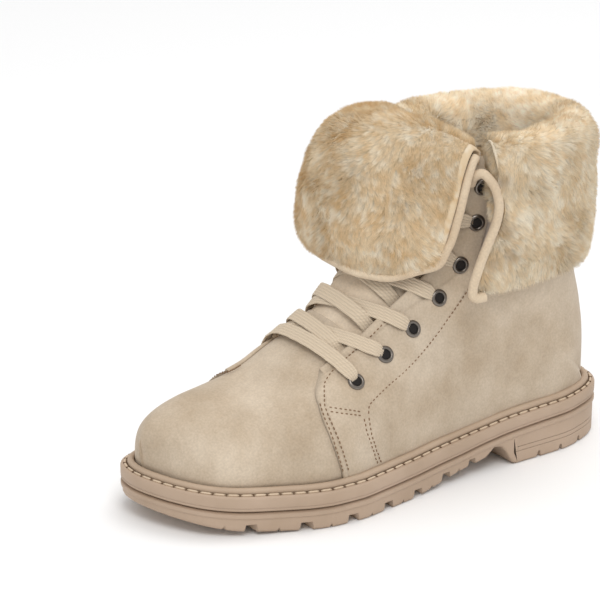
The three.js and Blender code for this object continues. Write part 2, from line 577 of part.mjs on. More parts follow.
// Long and short waves in the fur's skin, and the hem's rise towards the back
const wave = (a, b) => .5 * Math.sin(a * 3.1 + 2 * Math.sin(b * 1.7)) + .5 * Math.sin(b * 2.3 + a * 1.3 + 1);
const hem = (turn) => .02 * size.legHeight * smooth(2.0, .2, Math.abs(turn));
// The collar's surface: u from the outer front edge round the heel to the inner one, row of the section
const collarSteps = 20;
function collarPoint(u, row) {
  const z = sectionUp(row), turn = mix(endTurn('outer', z), endTurn('inner', z), u);
  const fur = smooth(2, 3, row) * smooth(12, 11, row);
  const edge = 1 - Math.min(1, Math.min(u, 1 - u) * collarSteps / 1.5);
  const out = sectionOut(row) + fur * (.9 * wave(turn * 5, z / size.legHeight * 19) - .16 * size.furDeep * edge);
  return new THREE.Vector3(...legPoint(turn, z, out), z + hem(turn) * smooth(8.6, 9.6, row) * smooth(14, 13, row));
}
// A lock of fur: a three-sided tip lying with the pile, its root sunk in the skin
function lockOf(point, u, v, swing, wide) {
  const e = .02, root = point(u, v), across = point(u + e, v).sub(root), down = point(u, v + e).sub(root);
  const outward = new THREE.Vector3().crossVectors(down, across).normalize();
  const stepU = wide * e / across.length(), stepV = wide * e / down.length();
  const at = (side, along, lift) => point(u + side * stepU, v + along * stepV).addScaledVector(outward, lift * wide).toArray();
  return toSolid(toMesh([at(-.5, -.05, -.12), at(.5, .05, -.12), at(.8 * swing, .8, -.2), at(1.2 * swing, 1.2, .22)],
    [[0, 1, 3], [1, 2, 3], [2, 0, 3], [0, 2, 1]]));
}
const pipings = [];
{
  const rings = [];
  for (let i = 0; i <= collarSteps; i++) rings.push(sectionRow.map((row) => collarPoint(i / collarSteps, row).toArray()));
  let fur = toSolid(skin(rings));
  const lockRows = [3.7, 5.2, 6.3, 7.4, 8.5, 9.5], perRow = 8;
  lockRows.forEach((row, r) => {
    for (let k = 0; k < perRow; k++) {
      const u = mix(.06, .94, (k + (r % 2 ? .75 : .25)) / perRow);
      fur = fur.add(lockOf(collarPoint, u, row, .5 * Math.sin(k * 2.4 + r * 1.7), size.lockWidth));
    }
  });
  fur = fur.subtract(leather);
  for (const ring of topRings) fur = fur.subtract(ring);
  const edgeUps = [1.064, .994, .959, .913, .855, .797, .738, .68, .634, .613, .552];
  for (const name of ['outer', 'inner']) {
    const line = edgeUps.map((up) => {
      const z = up * size.legHeight, [x, y] = legPoint(endTurn(name, z), z, .59 * size.furDeep);
      return [x, y - size.piping - .45, z];
    });
    fur = fur.subtract(toSolid(cord(line, size.piping + size.gap)));
    pipings.push(['collar_piping_' + name, cord(line, size.piping, 1)]);
  }
  add('collar_fur', fromSolid(fur), 0xdac7a4, 1);
}

// Tongue flap: the tongue's top folded forward and down. Rows run from the fold to the lower edge,
// columns from the inner side (a) to the outer side (e) as [side, station, up], shares of ball width,
// length and leg height. middle and edge: thickness there, share of the fur's depth
const flap = [
  { a: [-.388, .44, 1], b: [-.233, .395, 1], c: [-.029, .385, 1.006], d: [.155, .37, .994], e: [.291, .335, .977] },
  { a: [-.408, .448, 1.052], b: [-.233, .41, 1.07], c: [-.029, .405, 1.081], d: [.165, .385, 1.07], e: [.311, .34, 1.02] },
  { a: [-.413, .468, 1.07], b: [-.243, .445, 1.102], c: [-.029, .44, 1.113], d: [.175, .41, 1.099], e: [.33, .358, 1.035] },
  { a: [-.422, .493, 1.047], b: [-.262, .495, 1.081], c: [-.039, .49, 1.093], d: [.184, .445, 1.076], e: [.35, .375, 1.015] },
  { a: [-.437, .52, .971], b: [-.282, .55, .994], c: [-.039, .548, 1], d: [.204, .482, .988], e: [.364, .394, .953] },
  { a: [-.447, .54, .86], b: [-.291, .578, .872], c: [-.039, .572, .872], d: [.223, .503, .872], e: [.379, .414, .86] },
  { a: [-.447, .55, .762], b: [-.282, .583, .762], c: [-.029, .58, .762], d: [.228, .52, .756], e: [.379, .436, .762] },
  { a: [-.408, .55, .698], b: [-.252, .57, .68], c: [-.01, .572, .677], d: [.214, .527, .672], e: [.354, .455, .703] },
];
const flapThick = [
  { middle: .36, edge: .16, roll: .04 },
  { middle: .36, edge: .16, roll: .06 },
  { middle: .4, edge: .18, roll: .08 },
  { middle: .46, edge: .2, roll: .1 },
  { middle: .56, edge: .28, roll: .15 },
  { middle: .6, edge: .36, roll: .2 },
  { middle: .6, edge: .36, roll: .2 },
  { middle: .44, edge: .3, roll: .24 },
];
const flapKeys = ['a', 'b', 'c', 'd', 'e'], flapRow = flap.map((_, i) => i), flapLast = flap.length - 1;
const flapCurve = flapKeys.map((key) => [0, 1, 2].map((k) => curve(flapRow, flap.map((r) => r[key][k]))));
const thickAt = {};
for (const key of ['middle', 'edge', 'roll']) thickAt[key] = curve(flapRow, flapThick.map((r) => r[key] * size.furDeep));
function flapPoint(across, down, depth) {
  const at = (u, w) => {
    const k = [0, 1, 2].map((i) => curve([0, .25, .5, .75, 1], flapCurve.map((c) => c[i](w)))(u));
    return new THREE.Vector3(k[0] * size.ballWidth, yAt(k[1]), k[2] * size.legHeight);
  };
  const e = .02, w = clamp(down, 0, flapLast), p = at(across, w);
  const du = at(Math.min(across + e, 1), w).sub(at(Math.max(across - e, 0), w));
  const dw = at(across, Math.min(w + e, flapLast)).sub(at(across, Math.max(w - e, 0)));
  return p.addScaledVector(new THREE.Vector3().crossVectors(dw, du).normalize(), -depth);
}
// Fullness towards the side edges and the lower edge of the flap, 0 to 1
function fullAt(u, down) {
  const side = clamp(Math.min(u, 1 - u) * 6, 0, 1), low = clamp((flapLast - down) * 1.3 + .1, 0, 1);
  return Math.sqrt(side * (2 - side) * low * (2 - low));
}
function flapFront(u, down) {
  const full = fullAt(u, down);
  return flapPoint(u, down, (1 - full) * thickAt.roll(down) - .7 * wave(u * 14, down * 2.2) * full);
}
{
  const rowsDown = [0, .8, 1.5, 2.1, 2.8, 3.6, 4.5, 5.4, 6.3, 7], cols = 10, rings = [];
  for (const down of rowsDown) {
    const front = [], back = [];
    for (let j = 0; j <= cols; j++) {
      const u = j / cols, full = fullAt(u, down);
      front.push(flapFront(u, down).toArray());
      const tight = 1 - .5 * smooth(.6, .88, u) * smooth(4.5, 3, down);
      const thick = (1 - full) * thickAt.roll(down) + tight * mix(thickAt.edge(down), thickAt.middle(down), full);
      back.push(flapPoint(u, down, thick).toArray());
    }
    rings.push([...front, ...back.reverse()]);
  }
  let fur = toSolid(skin(rings));
  const lockRows = [1.4, 2.6, 3.7, 4.8, 5.9], perRow = 5;
  lockRows.forEach((down, r) => {
    for (let k = 0; k < perRow; k++) {
      const u = mix(.1, .9, (k + (r % 2 ? .75 : .25)) / perRow);
      fur = fur.add(lockOf(flapFront, u, down, .5 * Math.sin(k * 2.1 + r * 1.9), size.lockWidth * .9));
    }
  });
  fur = fur.subtract(leather).subtract(toSolid(tongueSolid(size.gap)));
  const edge = [], out = size.piping + .45;
  const put = (u, down, du, dd) => {
    const depth = .28 * size.furDeep, p = flapPoint(u, down, depth), q = flapPoint(u - du * .03, down - dd * .1, depth);
    edge.push(p.clone().add(p.clone().sub(q).normalize().multiplyScalar(out)).toArray());
  };
  const sideRows = [1.7, 2.4, 3, 3.7, 4.4, 5.1, 5.8, 6.4];
  for (const down of sideRows) put(0, down, -1, 0);
  put(0, 6.9, -1, 2.2);
  for (let j = 1; j < 12; j++) put(j / 12, flapLast, 0, 1);
  put(1, 6.9, 1, 2.2);
  for (const down of [...sideRows].reverse()) put(1, down, 1, 0);
  fur = fur.subtract(toSolid(cord(edge, size.piping + size.gap)));
  add('tongue_fur', fromSolid(fur), 0xdfcca9, 1);
  pipings.push(['tongue_piping', cord(edge, size.piping, 1)]);
}
for (const [name, geometry] of pipings) add(name, geometry, 0xc9b091);

// Laces: flat ribbons over the throat. Each row is a lace from one hole across to the other side
function ribbon(list) {
  const frames = list.map((row) => onUpper(...row)), rings = [];
  frames.forEach((f, i) => {
    const along = frames[Math.min(i + 1, frames.length - 1)].point.clone().sub(frames[Math.max(i - 1, 0)].point).normalize();
    const side = new THREE.Vector3().crossVectors(along, f.normal).normalize().multiplyScalar(size.laceWidth / 2);
    const lift = f.normal.clone().multiplyScalar(size.laceThick / 2);
    rings.push([[1, -1], [1, 1], [-1, 1], [-1, -1]].map(([a, b]) => f.point.clone().addScaledVector(side, a).addScaledVector(lift, b).toArray()));
  });
  return toSolid(skin(rings));
}
const onFacing = size.overlay + ringLift + 1.1 + size.gap + .2 + size.laceThick / 2;
const holes = { outer: eyeletAt.filter((e) => e.side === 'outer'), inner: eyeletAt.filter((e) => e.side === 'inner') };
function crossing(from, fromSide, raised) {
  const far = fromSide === 'outer' ? 'inner' : 'outer', a = holes[fromSide][from];
  const toTurn = mix(holes[far][from - 1].t, holes[far][from].t, .2), steps = 8, list = [];
  const start = reachAt(a.t, throat[fromSide], 0), end = reachAt(toTurn, throat[far] - Math.sign(throat[far]) * 2.6, 0);
  for (let i = 0; i <= steps; i++) {
    const u = i / steps, t = mix(a.t, toTurn, u), reach = mix(a.reach, end, u);
    const inside = Math.sign(throat[fromSide]) * (throat[fromSide] - onUpper(t, reach, 0).point.x);
    const onVamp = size.gap + size.laceThick / 2 + 1.1;
    const rest = mix(onVamp, -.5, smooth(vampThroatTurn + .6, vampThroatTurn + 1.2, t)) + raised * (1 - smooth(.55, .95, u));
    list.push([t, reach, mix(onFacing, rest, smooth(7, 25, inside) * smooth(0, .01, Math.abs(reach - start)))]);
  }
  return ribbon(list);
}
{
  const a = holes.outer[0], b = holes.inner[0], list = [];
  for (let i = 0; i <= 10; i++) {
    const u = i / 10;
    list.push([mix(a.t, b.t, u), mix(a.reach, b.reach, u), onFacing + .6 * Math.sin(Math.PI * u)]);
  }
  add('lace_1', fromSolid(ribbon(list)), 0xd8c6ab);
  for (let k = 1; k < 6; k++) {
    add(`lace_${k + 1}`, fromSolid(crossing(k, 'outer', 0).add(crossing(k, 'inner', 1))), 0xd8c6ab);
  }
}

export default group;
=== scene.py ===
"""Left ankle boot with a deep fur collar folded down, on a white floor.

Metres in the scene, millimetres in the tables. Toe towards -Y, outer side +X, up +Z.
"""
import math

import bpy
import numpy as np
from mathutils import Matrix


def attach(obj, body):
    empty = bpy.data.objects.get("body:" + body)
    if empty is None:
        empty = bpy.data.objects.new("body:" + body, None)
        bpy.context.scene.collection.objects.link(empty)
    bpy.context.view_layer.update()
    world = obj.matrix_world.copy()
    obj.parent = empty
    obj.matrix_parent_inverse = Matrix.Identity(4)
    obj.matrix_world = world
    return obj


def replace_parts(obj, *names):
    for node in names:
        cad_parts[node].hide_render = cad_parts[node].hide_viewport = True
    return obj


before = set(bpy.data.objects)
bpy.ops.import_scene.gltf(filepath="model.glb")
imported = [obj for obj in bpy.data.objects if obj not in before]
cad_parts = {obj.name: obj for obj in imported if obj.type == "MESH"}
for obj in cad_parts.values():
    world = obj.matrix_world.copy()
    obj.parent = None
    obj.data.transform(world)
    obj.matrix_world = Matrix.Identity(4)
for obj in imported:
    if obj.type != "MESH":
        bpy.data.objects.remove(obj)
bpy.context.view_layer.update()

# Driving sizes, mm
LENGTH = 281.0
BALL = 103.0
HEEL_REAR = 36.0
LEG = 172.0
FEATHER = 8.2
OVERLAY = 1.4
WALL = 2.0
GAP = 0.3
THROAT = {1: 22.0, -1: -25.0}
FUR_DEEP = 13.6

SOLE_EDGE = np.array([
    (0, 0, 0), (.01, .155, -.155), (.04, .26, -.258), (.085, .33, -.325), (.146, .378, -.355),
    (.235, .39, -.345), (.335, .402, -.332), (.44, .431, -.338), (.53, .474, -.362), (.6, .511, -.397),
    (.656, .535, -.43), (.707, .531, -.455), (.756, .503, -.473), (.8, .46, -.478), (.848, .413, -.472),
    (.896, .354, -.447), (.938, .268, -.403), (.972, .135, -.335), (.993, -.01, -.245), (1, -.13, -.13)])
# at, ground, groove, top
SOLE_RISE = np.array([
    (0, 0, 20.6, 28.5), (.12, 0, 20.4, 28.2), (.262, 0, 18.9, 27), (.3, 12, 18, 26.2),
    (.318, 12.6, 17.4, 25.6), (.332, 8.6, 17, 25.2), (.4, 5.6, 14.6, 23.5), (.46, 2.4, 13.2, 22.2),
    (.53, 0, 12, 21), (.72, 0, 11.2, 20),
    (.86, 2.2, 12.8, 21.5), (1, 10, 17, 25.5)])
# at, wide, deep
NOTCHES = [
    (.095, 3.4, 3.6), (.15, 3.4, 3.6), (.205, 3.4, 3.6), (.372, 6, 4), (.438, 7, 4.4), (.512, 7.4, 4.6),
    (.59, 7.4, 4.6), (.676, 7.6, 4.6), (.768, 7.6, 4.6), (.864, 7, 4.2)]
# at, up, topAt, topUp, girthAt, spread, roundTop, roundBack, ridge
SECTIONS = np.array([
    (.973, 0, .98, .205, .973, 1.04, 2.2, 6, -.13), (.9722, 0, .9795, .235, .9722, 1.04, 2.2, 6, -.13),
    (.968, 0, .974, .262, .968, 1.04, 2.3, 6, -.13), (.955, 0, .958, .291, .955, 1.045, 2.4, 6, -.13),
    (.92, 0, .919, .321, .92, 1.05, 2.5, 7, -.13), (.87, 0, .868, .343, .87, 1.05, 2.6, 8, -.128),
    (.8, 0, .8, .361, .8, 1.045, 2.7, 8, -.125), (.73, 0, .735, .392, .73, 1.04, 2.9, 8, -.12),
    (.66, 0, .69, .435, .66, 1.03, 3.3, 8, -.118), (.58, 0, .645, .48, .58, 1.03, 3.8, 8, -.117),
    (.49, 0, .6, .53, .49, 1.04, 4.2, 8, -.116), (.39, 0, .558, .598, .4, 1.05, 4.5, 8, -.112),
    (.28, 0, .525, .663, .3, 1.04, 4.6, 7.6, -.105), (.17, 0, .5, .721, .22, 1.03, 4.6, 7, -.095),
    (.09, 0, .482, .767, .17, 1.03, 4.5, 6.8, -.088), (.038, 0, .472, .802, .16, 1.03, 4.4, 6.5, -.08),
    (.0335, .26, .462, .843, .16, 1.03, 4.3, 6.2, -.073), (.041, .407, .452, .89, .16, 1.04, 4.1, 5.6, -.066),
    (.06, .564, .444, .936, .16, 1.06, 3.9, 4.8, -.058), (.073, .74, .44, .977, .16, 1.12, 3.7, 4.2, -.05),
    (.077, 1, .438, 1, .16, 1.2, 3.5, 3.6, -.045), (.079, 1.05, .447, 1.05, .16, 1.22, 3.5, 3.6, -.045)])
VAMP_THROAT = 9.95
# up, outerAt, innerAt
QUARTER_FRONT = np.array([
    (.06, .68, .742), (.13, .684, .748), (.2, .697, .76), (.26, .706, .773), (.31, .71, .782),
    (.355, .705, .782), (.4, .692, .776), (.44, .668, .76)])
# outerTurn, outerAround, innerTurn, innerAround
EYELETS = [
    (9.05, .74, 8.45, .72), (10.35, .74, 9.6, .7), (11.5, .724, 10.7, .72), (12.9, .736, 12, .755),
    (15.3, .756, 13.9, .78), (17.45, .712, 16.6, .77), (18.95, .692, 18.5, .75)]
# up, outer, inner, behind, front
LEG_OVAL = np.array([
    (98, 35.5, 37, 56, 84), (112, 34.5, 36, 53.5, 76), (130, 34.5, 36, 52, 64), (150, 35.5, 36.5, 51.5, 55.5),
    (172, 37, 38, 51, 50.5), (190, 37, 38, 50.5, 50.5)])
LEG_AT = .258
# out, up
COLLAR_SECTION = np.array([
    (-8.5, 156), (-9, 165), (-7.5, 174), (-2.5, 180), (3.5, 181), (9.5, 177), (13, 168), (13.6, 152),
    (13.4, 136), (12.8, 120), (11.6, 109), (8.6, 103.5), (5.2, 104), (3.6, 118), (2.7, 140), (2.3, 160),
    (2.1, 173.4), (-2.9, 173.4), (-3.2, 156.5)])
# up, outer, inner
COLLAR_END = np.array([
    (98, .372, .392), (112, .358, .38), (128, .334, .358), (146, .312, .338), (160, .322, .345),
    (182, .328, .352)])
# Flap rows from the fold down: five columns of side mm, station, up mm, inner side first
FLAP = np.array([
    [(-40, .44, 172), (-24, .395, 172), (-3, .385, 173), (16, .37, 171), (30, .335, 168)],
    [(-42, .448, 181), (-24, .41, 184), (-3, .405, 186), (17, .385, 184), (32, .34, 175.5)],
    [(-42.5, .468, 184), (-25, .445, 189.5), (-3, .44, 191.5), (18, .41, 189), (34, .358, 178)],
    [(-43.5, .493, 180), (-27, .495, 186), (-4, .49, 188), (19, .445, 185), (36, .375, 174.5)],
    [(-45, .52, 167), (-29, .55, 171), (-4, .548, 172), (21, .482, 170), (37.5, .394, 164)],
    [(-46, .54, 148), (-30, .578, 150), (-4, .572, 150), (23, .503, 150), (39, .414, 148)],
    [(-46, .55, 131), (-29, .583, 131), (-3, .58, 131), (23.5, .52, 130), (39, .436, 131)],
    [(-42, .55, 120), (-26, .57, 117), (-1, .572, 116.5), (22, .527, 115.5), (36.5, .455, 121)]])


# Helpers
def clamp(x, a, b):
    return np.minimum(b, np.maximum(a, x))


def mix(a, b, t):
    return a + (b - a) * t


def smooth(a, b, x):
    t = clamp((np.asarray(x, float) - a) / (b - a), 0, 1)
    return t * t * (3 - 2 * t)


def y_at(at):
    return HEEL_REAR - at * LENGTH


def at_y(y):
    return (HEEL_REAR - y) / LENGTH


def curve(xs, ys):
    """Smooth curve through the points that never overshoots. ys may have more columns."""
    xs, ys = np.asarray(xs, float), np.asarray(ys, float)
    h = np.diff(xs).reshape((-1,) + (1,) * (ys.ndim - 1))
    d = np.diff(ys, axis=0) / h
    m = np.zeros_like(ys)
    m[0], m[-1] = d[0], d[-1]
    a, b = d[:-1], d[1:]
    s = np.where(a + b == 0, 1, a + b)
    m[1:-1] = np.where(a * b <= 0, 0, 2 * a * b / s)

    def at(t, column=None):
        t = clamp(np.asarray(t, float), xs[0], xs[-1])
        i = clamp(np.searchsorted(xs, t, side="right") - 1, 0, len(xs) - 2)
        hh = xs[i + 1] - xs[i]
        u = (t - xs[i]) / hh
        if ys.ndim > 1 and column is None:
            u, hh = u[..., None], hh[..., None]
        y0, y1, m0, m1 = (q if column is None else q[..., column] for q in (ys[i], ys[i + 1], m[i], m[i + 1]))
        return (y0 * (1 + 2 * u) * (1 - u) ** 2 + y1 * u * u * (3 - 2 * u)
                + hh * m0 * u * (1 - u) ** 2 - hh * m1 * u * u * (1 - u))
    return at


edge_turn = np.arccos(1 - 2 * SOLE_EDGE[:, 0])
edge_curve = curve(edge_turn, SOLE_EDGE[:, 1:] * BALL)
rise_curve = curve(SOLE_RISE[:, 0], SOLE_RISE[:, 1:])
GROUND, GROOVE, TOP = 0, 1, 2


def rise(at, which):
    return rise_curve(at)[..., which]


def on_top(at):
    return rise(at, TOP) + GAP


def outline(n, inset):
    """Sole outline, heel to toe on the outer side and back on the inner side, moved in by inset."""
    turn = np.pi * np.arange(n + 1) / n
    y = y_at((1 - np.cos(turn)) / 2)
    e = edge_curve(turn)
    ring = np.concatenate([np.stack([e[:, 0], y], 1), np.stack([e[:, 1], y], 1)[n - 1:0:-1]])
    a, b = np.roll(ring, 1, 0), np.roll(ring, -1, 0)
    t = b - a
    t /= np.linalg.norm(t, axis=1)[:, None]
    return ring + np.stack([t[:, 1], -t[:, 0]], 1) * inset


half_cache = {}


def half_at(at, side, inset):
    key = round(float(inset), 2)
    if key not in half_cache:
        m = 400
        ring = outline(m, key)
        half_cache[key] = (ring[:m + 1], np.concatenate([ring[:1], ring[m:][::-1]]))
    line = half_cache[key][0 if side > 0 else 1]
    y = y_at(np.asarray(at, float))
    x = np.interp(-y, -line[:, 1], line[:, 0])
    out = (y >= line[0, 1]) | (y <= line[-1, 1])
    return np.where(out, np.nan, x)


section_curve = curve(np.arange(len(SECTIONS)), SECTIONS)


def upper_point(t, v, side, offset=0.0):
    """A point of the upper. t along the boot, v from the sole or back line to the ridge."""
    t, v = np.broadcast_arrays(np.asarray(t, float), np.asarray(v, float))
    s = section_curve(t)
    at, up, top_at, top_up, girth_at, spread, round_top, round_back, ridge = (s[..., i] for i in range(9))
    sole = 1 - smooth(14.6, 15.4, t)
    standing = on_top(at)
    back_z = np.where(t <= 15, standing, np.maximum(mix(standing, up * LEG, smooth(15, 16, t)), standing))
    back_y = y_at(at) + np.where(t > 14.6, offset * (1 - sole), 0)
    e = .05
    s0, s1 = section_curve(np.maximum(0, t - e)), section_curve(np.minimum(21, t + e))
    ty, tz = y_at(s1[..., 2]) - y_at(s0[..., 2]), (s1[..., 3] - s0[..., 3]) * LEG
    tl = np.hypot(ty, tz)
    tl = np.where(tl == 0, 1, tl)
    top_y = y_at(top_at) - tz / tl * offset
    top_z = top_up * LEG + ty / tl * offset
    centre_top = ridge * BALL
    centre_back = mix(0, centre_top, 1 - smooth(9, 14, t))
    centre, middle = mix(centre_back, centre_top, v), (centre_top + centre_back) / 2
    girth = half_at(np.minimum(girth_at, .9995), side, FEATHER - offset)
    full = spread * np.abs(girth - middle)
    foot_line = half_at(at, side, FEATHER - offset)
    foot = np.where(np.isnan(foot_line), 0, np.abs(foot_line - centre_back) * sole)
    k = clamp(foot / np.where(full == 0, 1, full), 0, 1)
    back = np.sqrt(clamp(k * k + (1 - k * k) * (1 - (1 - v) ** round_back), 0, 1))
    over = np.sqrt(np.maximum(0, 1 - v ** round_top))
    x = np.where(np.isnan(full), centre, centre + side * full * back * over)
    return np.stack([x, mix(back_y, top_y, v), mix(back_z, top_z, v)], -1)


def by_reach(t, reach, offset=0.0):
    """The upper's front surface: reach 0 at the ridge, +1 and -1 well down the outer and inner side."""
    t, reach = np.broadcast_arrays(np.asarray(t, float), np.asarray(reach, float))
    v = 1 - .3 * reach * reach
    a, b = upper_point(t, v, 1, offset), upper_point(t, v, -1, offset)
    return np.where((reach >= 0)[..., None], a, b)


def unit(v):
    return v / np.maximum(np.linalg.norm(v, axis=-1, keepdims=True), 1e-9)


def reach_normal(t, reach, offset=0.0):
    e, d = .05, .03
    t = np.asarray(t)
    along = by_reach(np.minimum(t + e, 21), reach, offset) - by_reach(t - e, reach, offset)
    across = by_reach(t, np.asarray(reach) + d, offset) - by_reach(t, np.asarray(reach) - d, offset)
    return unit(np.cross(across, along))


def reach_at(t, x, offset=0.0):
    """Reach where the surface has side distance x."""
    t, x = np.broadcast_arrays(np.asarray(t, float), np.asarray(x, float))
    side = np.sign(x)
    lo, hi = np.zeros_like(t), np.full_like(t, 1.25)
    for _ in range(30):
        r = (lo + hi) / 2
        short = side * (by_reach(t, side * r, offset)[..., 0] - x) < 0
        lo, hi = np.where(short, r, lo), np.where(short, hi, r)
    return side * (lo + hi) / 2


def lattice(seed):
    return np.random.RandomState(seed).rand(24, 24, 24)


LATTICES = [lattice(i) for i in range(6)]


def noise(p, scale, seed=0):
    """Smooth noise from -1 to 1 with features of the given size in mm."""
    q = np.asarray(p, float) / scale + 100
    i = np.floor(q).astype(int)
    f = q - i
    f = f * f * (3 - 2 * f)
    g = LATTICES[seed % 6]
    out = 0
    for dx in (0, 1):
        for dy in (0, 1):
            for dz in (0, 1):
                w = ((f[..., 0] if dx else 1 - f[..., 0]) * (f[..., 1] if dy else 1 - f[..., 1])
                     * (f[..., 2] if dz else 1 - f[..., 2]))
                out = out + w * g[(i[..., 0] + dx) % 24, (i[..., 1] + dy) % 24, (i[..., 2] + dz) % 24]
    return out * 2 - 1


def solid(name, verts, faces, material, smooth_shade=True, uv=None, colour=None, ride=True):
    mesh = bpy.data.meshes.new(name)
    mesh.from_pydata((np.asarray(verts) / 1000).tolist(), [], [tuple(int(i) for i in f) for f in faces])
    mesh.materials.append(material)
    if smooth_shade:
        mesh.polygons.foreach_set("use_smooth", [True] * len(mesh.polygons))
    if uv is not None:
        layer = mesh.uv_layers.new(name="UVMap")
        loops = np.zeros(len(mesh.loops), int)
        mesh.loops.foreach_get("vertex_index", loops)
        layer.data.foreach_set("uv", np.asarray(uv)[loops].ravel())
    if colour is not None:
        attribute = mesh.color_attributes.new("Tint", "FLOAT_COLOR", "POINT")
        rgba = np.concatenate([np.asarray(colour, float), np.ones((len(colour), 1))], 1)
        attribute.data.foreach_set("color", rgba.ravel())
    mesh.update()
    obj = bpy.data.objects.new(name, mesh)
    bpy.context.scene.collection.objects.link(obj)
    if ride:
        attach(obj, "root")
    return obj


def grid_faces(rows, cols, wrap=False, flip=False, base=0):
    r, c = np.meshgrid(np.arange(rows - 1), np.arange(cols if wrap else cols - 1), indexing="ij")
    a = r * cols + c
    b = r * cols + (c + 1) % cols
    d = (r + 1) * cols + c
    e = (r + 1) * cols + (c + 1) % cols
    quads = np.stack([a, b, e, d], -1).reshape(-1, 4) + base
    return quads[:, ::-1] if flip else quads


def outward(obj):
    """Turns a closed piece's faces outwards."""
    bpy.context.view_layer.objects.active = obj
    obj.select_set(True)
    bpy.ops.object.mode_set(mode="EDIT")
    bpy.ops.mesh.select_all(action="SELECT")
    bpy.ops.mesh.normals_make_consistent(inside=False)
    bpy.ops.object.mode_set(mode="OBJECT")
    obj.select_set(False)


def spline(points, n):
    """Points evenly spaced along a smooth curve through the given ones."""
    p = np.asarray(points, float)
    d = np.concatenate([[0], np.cumsum(np.linalg.norm(np.diff(p, axis=0), axis=1))])
    c = curve(d, p)
    fine = c(np.linspace(0, d[-1], n * 6))
    s = np.concatenate([[0], np.cumsum(np.linalg.norm(np.diff(fine, axis=0), axis=1))])
    at = np.linspace(0, s[-1], n)
    return np.stack([np.interp(at, s, fine[:, k]) for k in range(3)], 1)


def tube(points, radius, sides=14, squash=1.0):
    """Vertices and faces of a round cord with flat ends."""
    p = np.asarray(points, float)
    n = len(p)
    t = unit(np.gradient(p, axis=0))
    side = np.zeros_like(p)
    s = unit(np.cross([.3, .5, .8], t[0]))
    for i in range(n):
        s = unit(s - t[i] * (s @ t[i]))
        side[i] = s
    other = np.cross(t, side)
    r = np.full(n, radius, float) if np.isscalar(radius) else np.asarray(radius, float)
    a = np.arange(sides) * 2 * np.pi / sides
    rings = (p[:, None] + side[:, None] * (r[:, None] * np.cos(a))[..., None] * squash
             + other[:, None] * (r[:, None] * np.sin(a))[..., None])
    verts = rings.reshape(-1, 3)
    faces = list(grid_faces(n, sides, wrap=True))
    faces.append(tuple(range(sides))[::-1])
    faces.append(tuple(range((n - 1) * sides, n * sides)))
    return verts, faces


def many(parts):
    """Joins several vertex and face lists into one."""
    verts, faces, base = [], [], 0
    for v, f in parts:
        verts.append(np.asarray(v))
        faces.extend(tuple(int(i) + base for i in face) for face in f)
        base += len(v)
    return np.concatenate(verts), faces


# Materials
def principled(name, colour, roughness=.8, metallic=0.0, sheen=0.0):
    m = bpy.data.materials.new(name)
    m.use_nodes = True
    node = m.node_tree.nodes["Principled BSDF"]
    node.inputs["Base Color"].default_value = (*colour, 1)
    node.inputs["Roughness"].default_value = roughness
    node.inputs["Metallic"].default_value = metallic
    if sheen:
        node.inputs["Sheen Weight"].default_value = sheen
        node.inputs["Sheen Roughness"].default_value = .5
    return m, m.node_tree, node


def link(tree, a, b):
    tree.links.new(a, b)


def texture(tree, kind, scale, detail=3.0, vector=None, **values):
    node = tree.nodes.new(kind)
    node.inputs["Scale"].default_value = scale
    if "Detail" in node.inputs:
        node.inputs["Detail"].default_value = detail
    for key, value in values.items():
        node.inputs[key].default_value = value
    if vector is not None:
        link(tree, vector, node.inputs["Vector"])
    return node


def ramp(tree, source, stops):
    node = tree.nodes.new("ShaderNodeValToRGB")
    while len(node.color_ramp.elements) < len(stops):
        node.color_ramp.elements.new(.5)
    for e, (at, colour) in zip(node.color_ramp.elements, stops):
        e.position = at
        e.color = (*colour, 1)
    link(tree, source, node.inputs["Fac"])
    return node.outputs["Color"]


def bump(tree, source, strength, distance, normal=None):
    node = tree.nodes.new("ShaderNodeBump")
    node.inputs["Strength"].default_value = strength
    node.inputs["Distance"].default_value = distance
    link(tree, source, node.inputs["Height"])
    if normal is not None:
        link(tree, normal, node.inputs["Normal"])
    return node.outputs["Normal"]


def srgb(*rgb):
    c = np.array(rgb, float) / 255
    return tuple(np.where(c <= .04045, c / 12.92, ((c + .055) / 1.055) ** 2.4))


def multiply(tree, a, b, factor=1.0):
    node = tree.nodes.new("ShaderNodeMix")
    node.data_type = "RGBA"
    node.blend_type = "MULTIPLY"
    node.inputs["Factor"].default_value = factor
    link(tree, a, node.inputs[6])
    link(tree, b, node.inputs[7])
    return node.outputs[2]


def tint_of(tree):
    """The colour held by a piece's vertices."""
    node = tree.nodes.new("ShaderNodeVertexColor")
    node.layer_name = "Tint"
    return node.outputs["Color"]


def nubuck(name, low, high, tint=True):
    m, tree, node = principled(name, high, .88, sheen=.12)
    place = tree.nodes.new("ShaderNodeTexCoord").outputs["Object"]
    cloud = texture(tree, "ShaderNodeTexNoise", 26, 5, place, Roughness=.62)
    colour = ramp(tree, cloud.outputs["Fac"], [(.34, low), (.66, high)])
    grain = texture(tree, "ShaderNodeTexNoise", 900, 2, place)
    fine = ramp(tree, grain.outputs["Fac"], [(.3, (.9, .9, .9)), (.7, (1.05, 1.05, 1.05))])
    colour = multiply(tree, colour, fine)
    if tint:
        colour = multiply(tree, colour, tint_of(tree))
    link(tree, colour, node.inputs["Base Color"])
    link(tree, bump(tree, grain.outputs["Fac"], .12, .0004), node.inputs["Normal"])
    return m


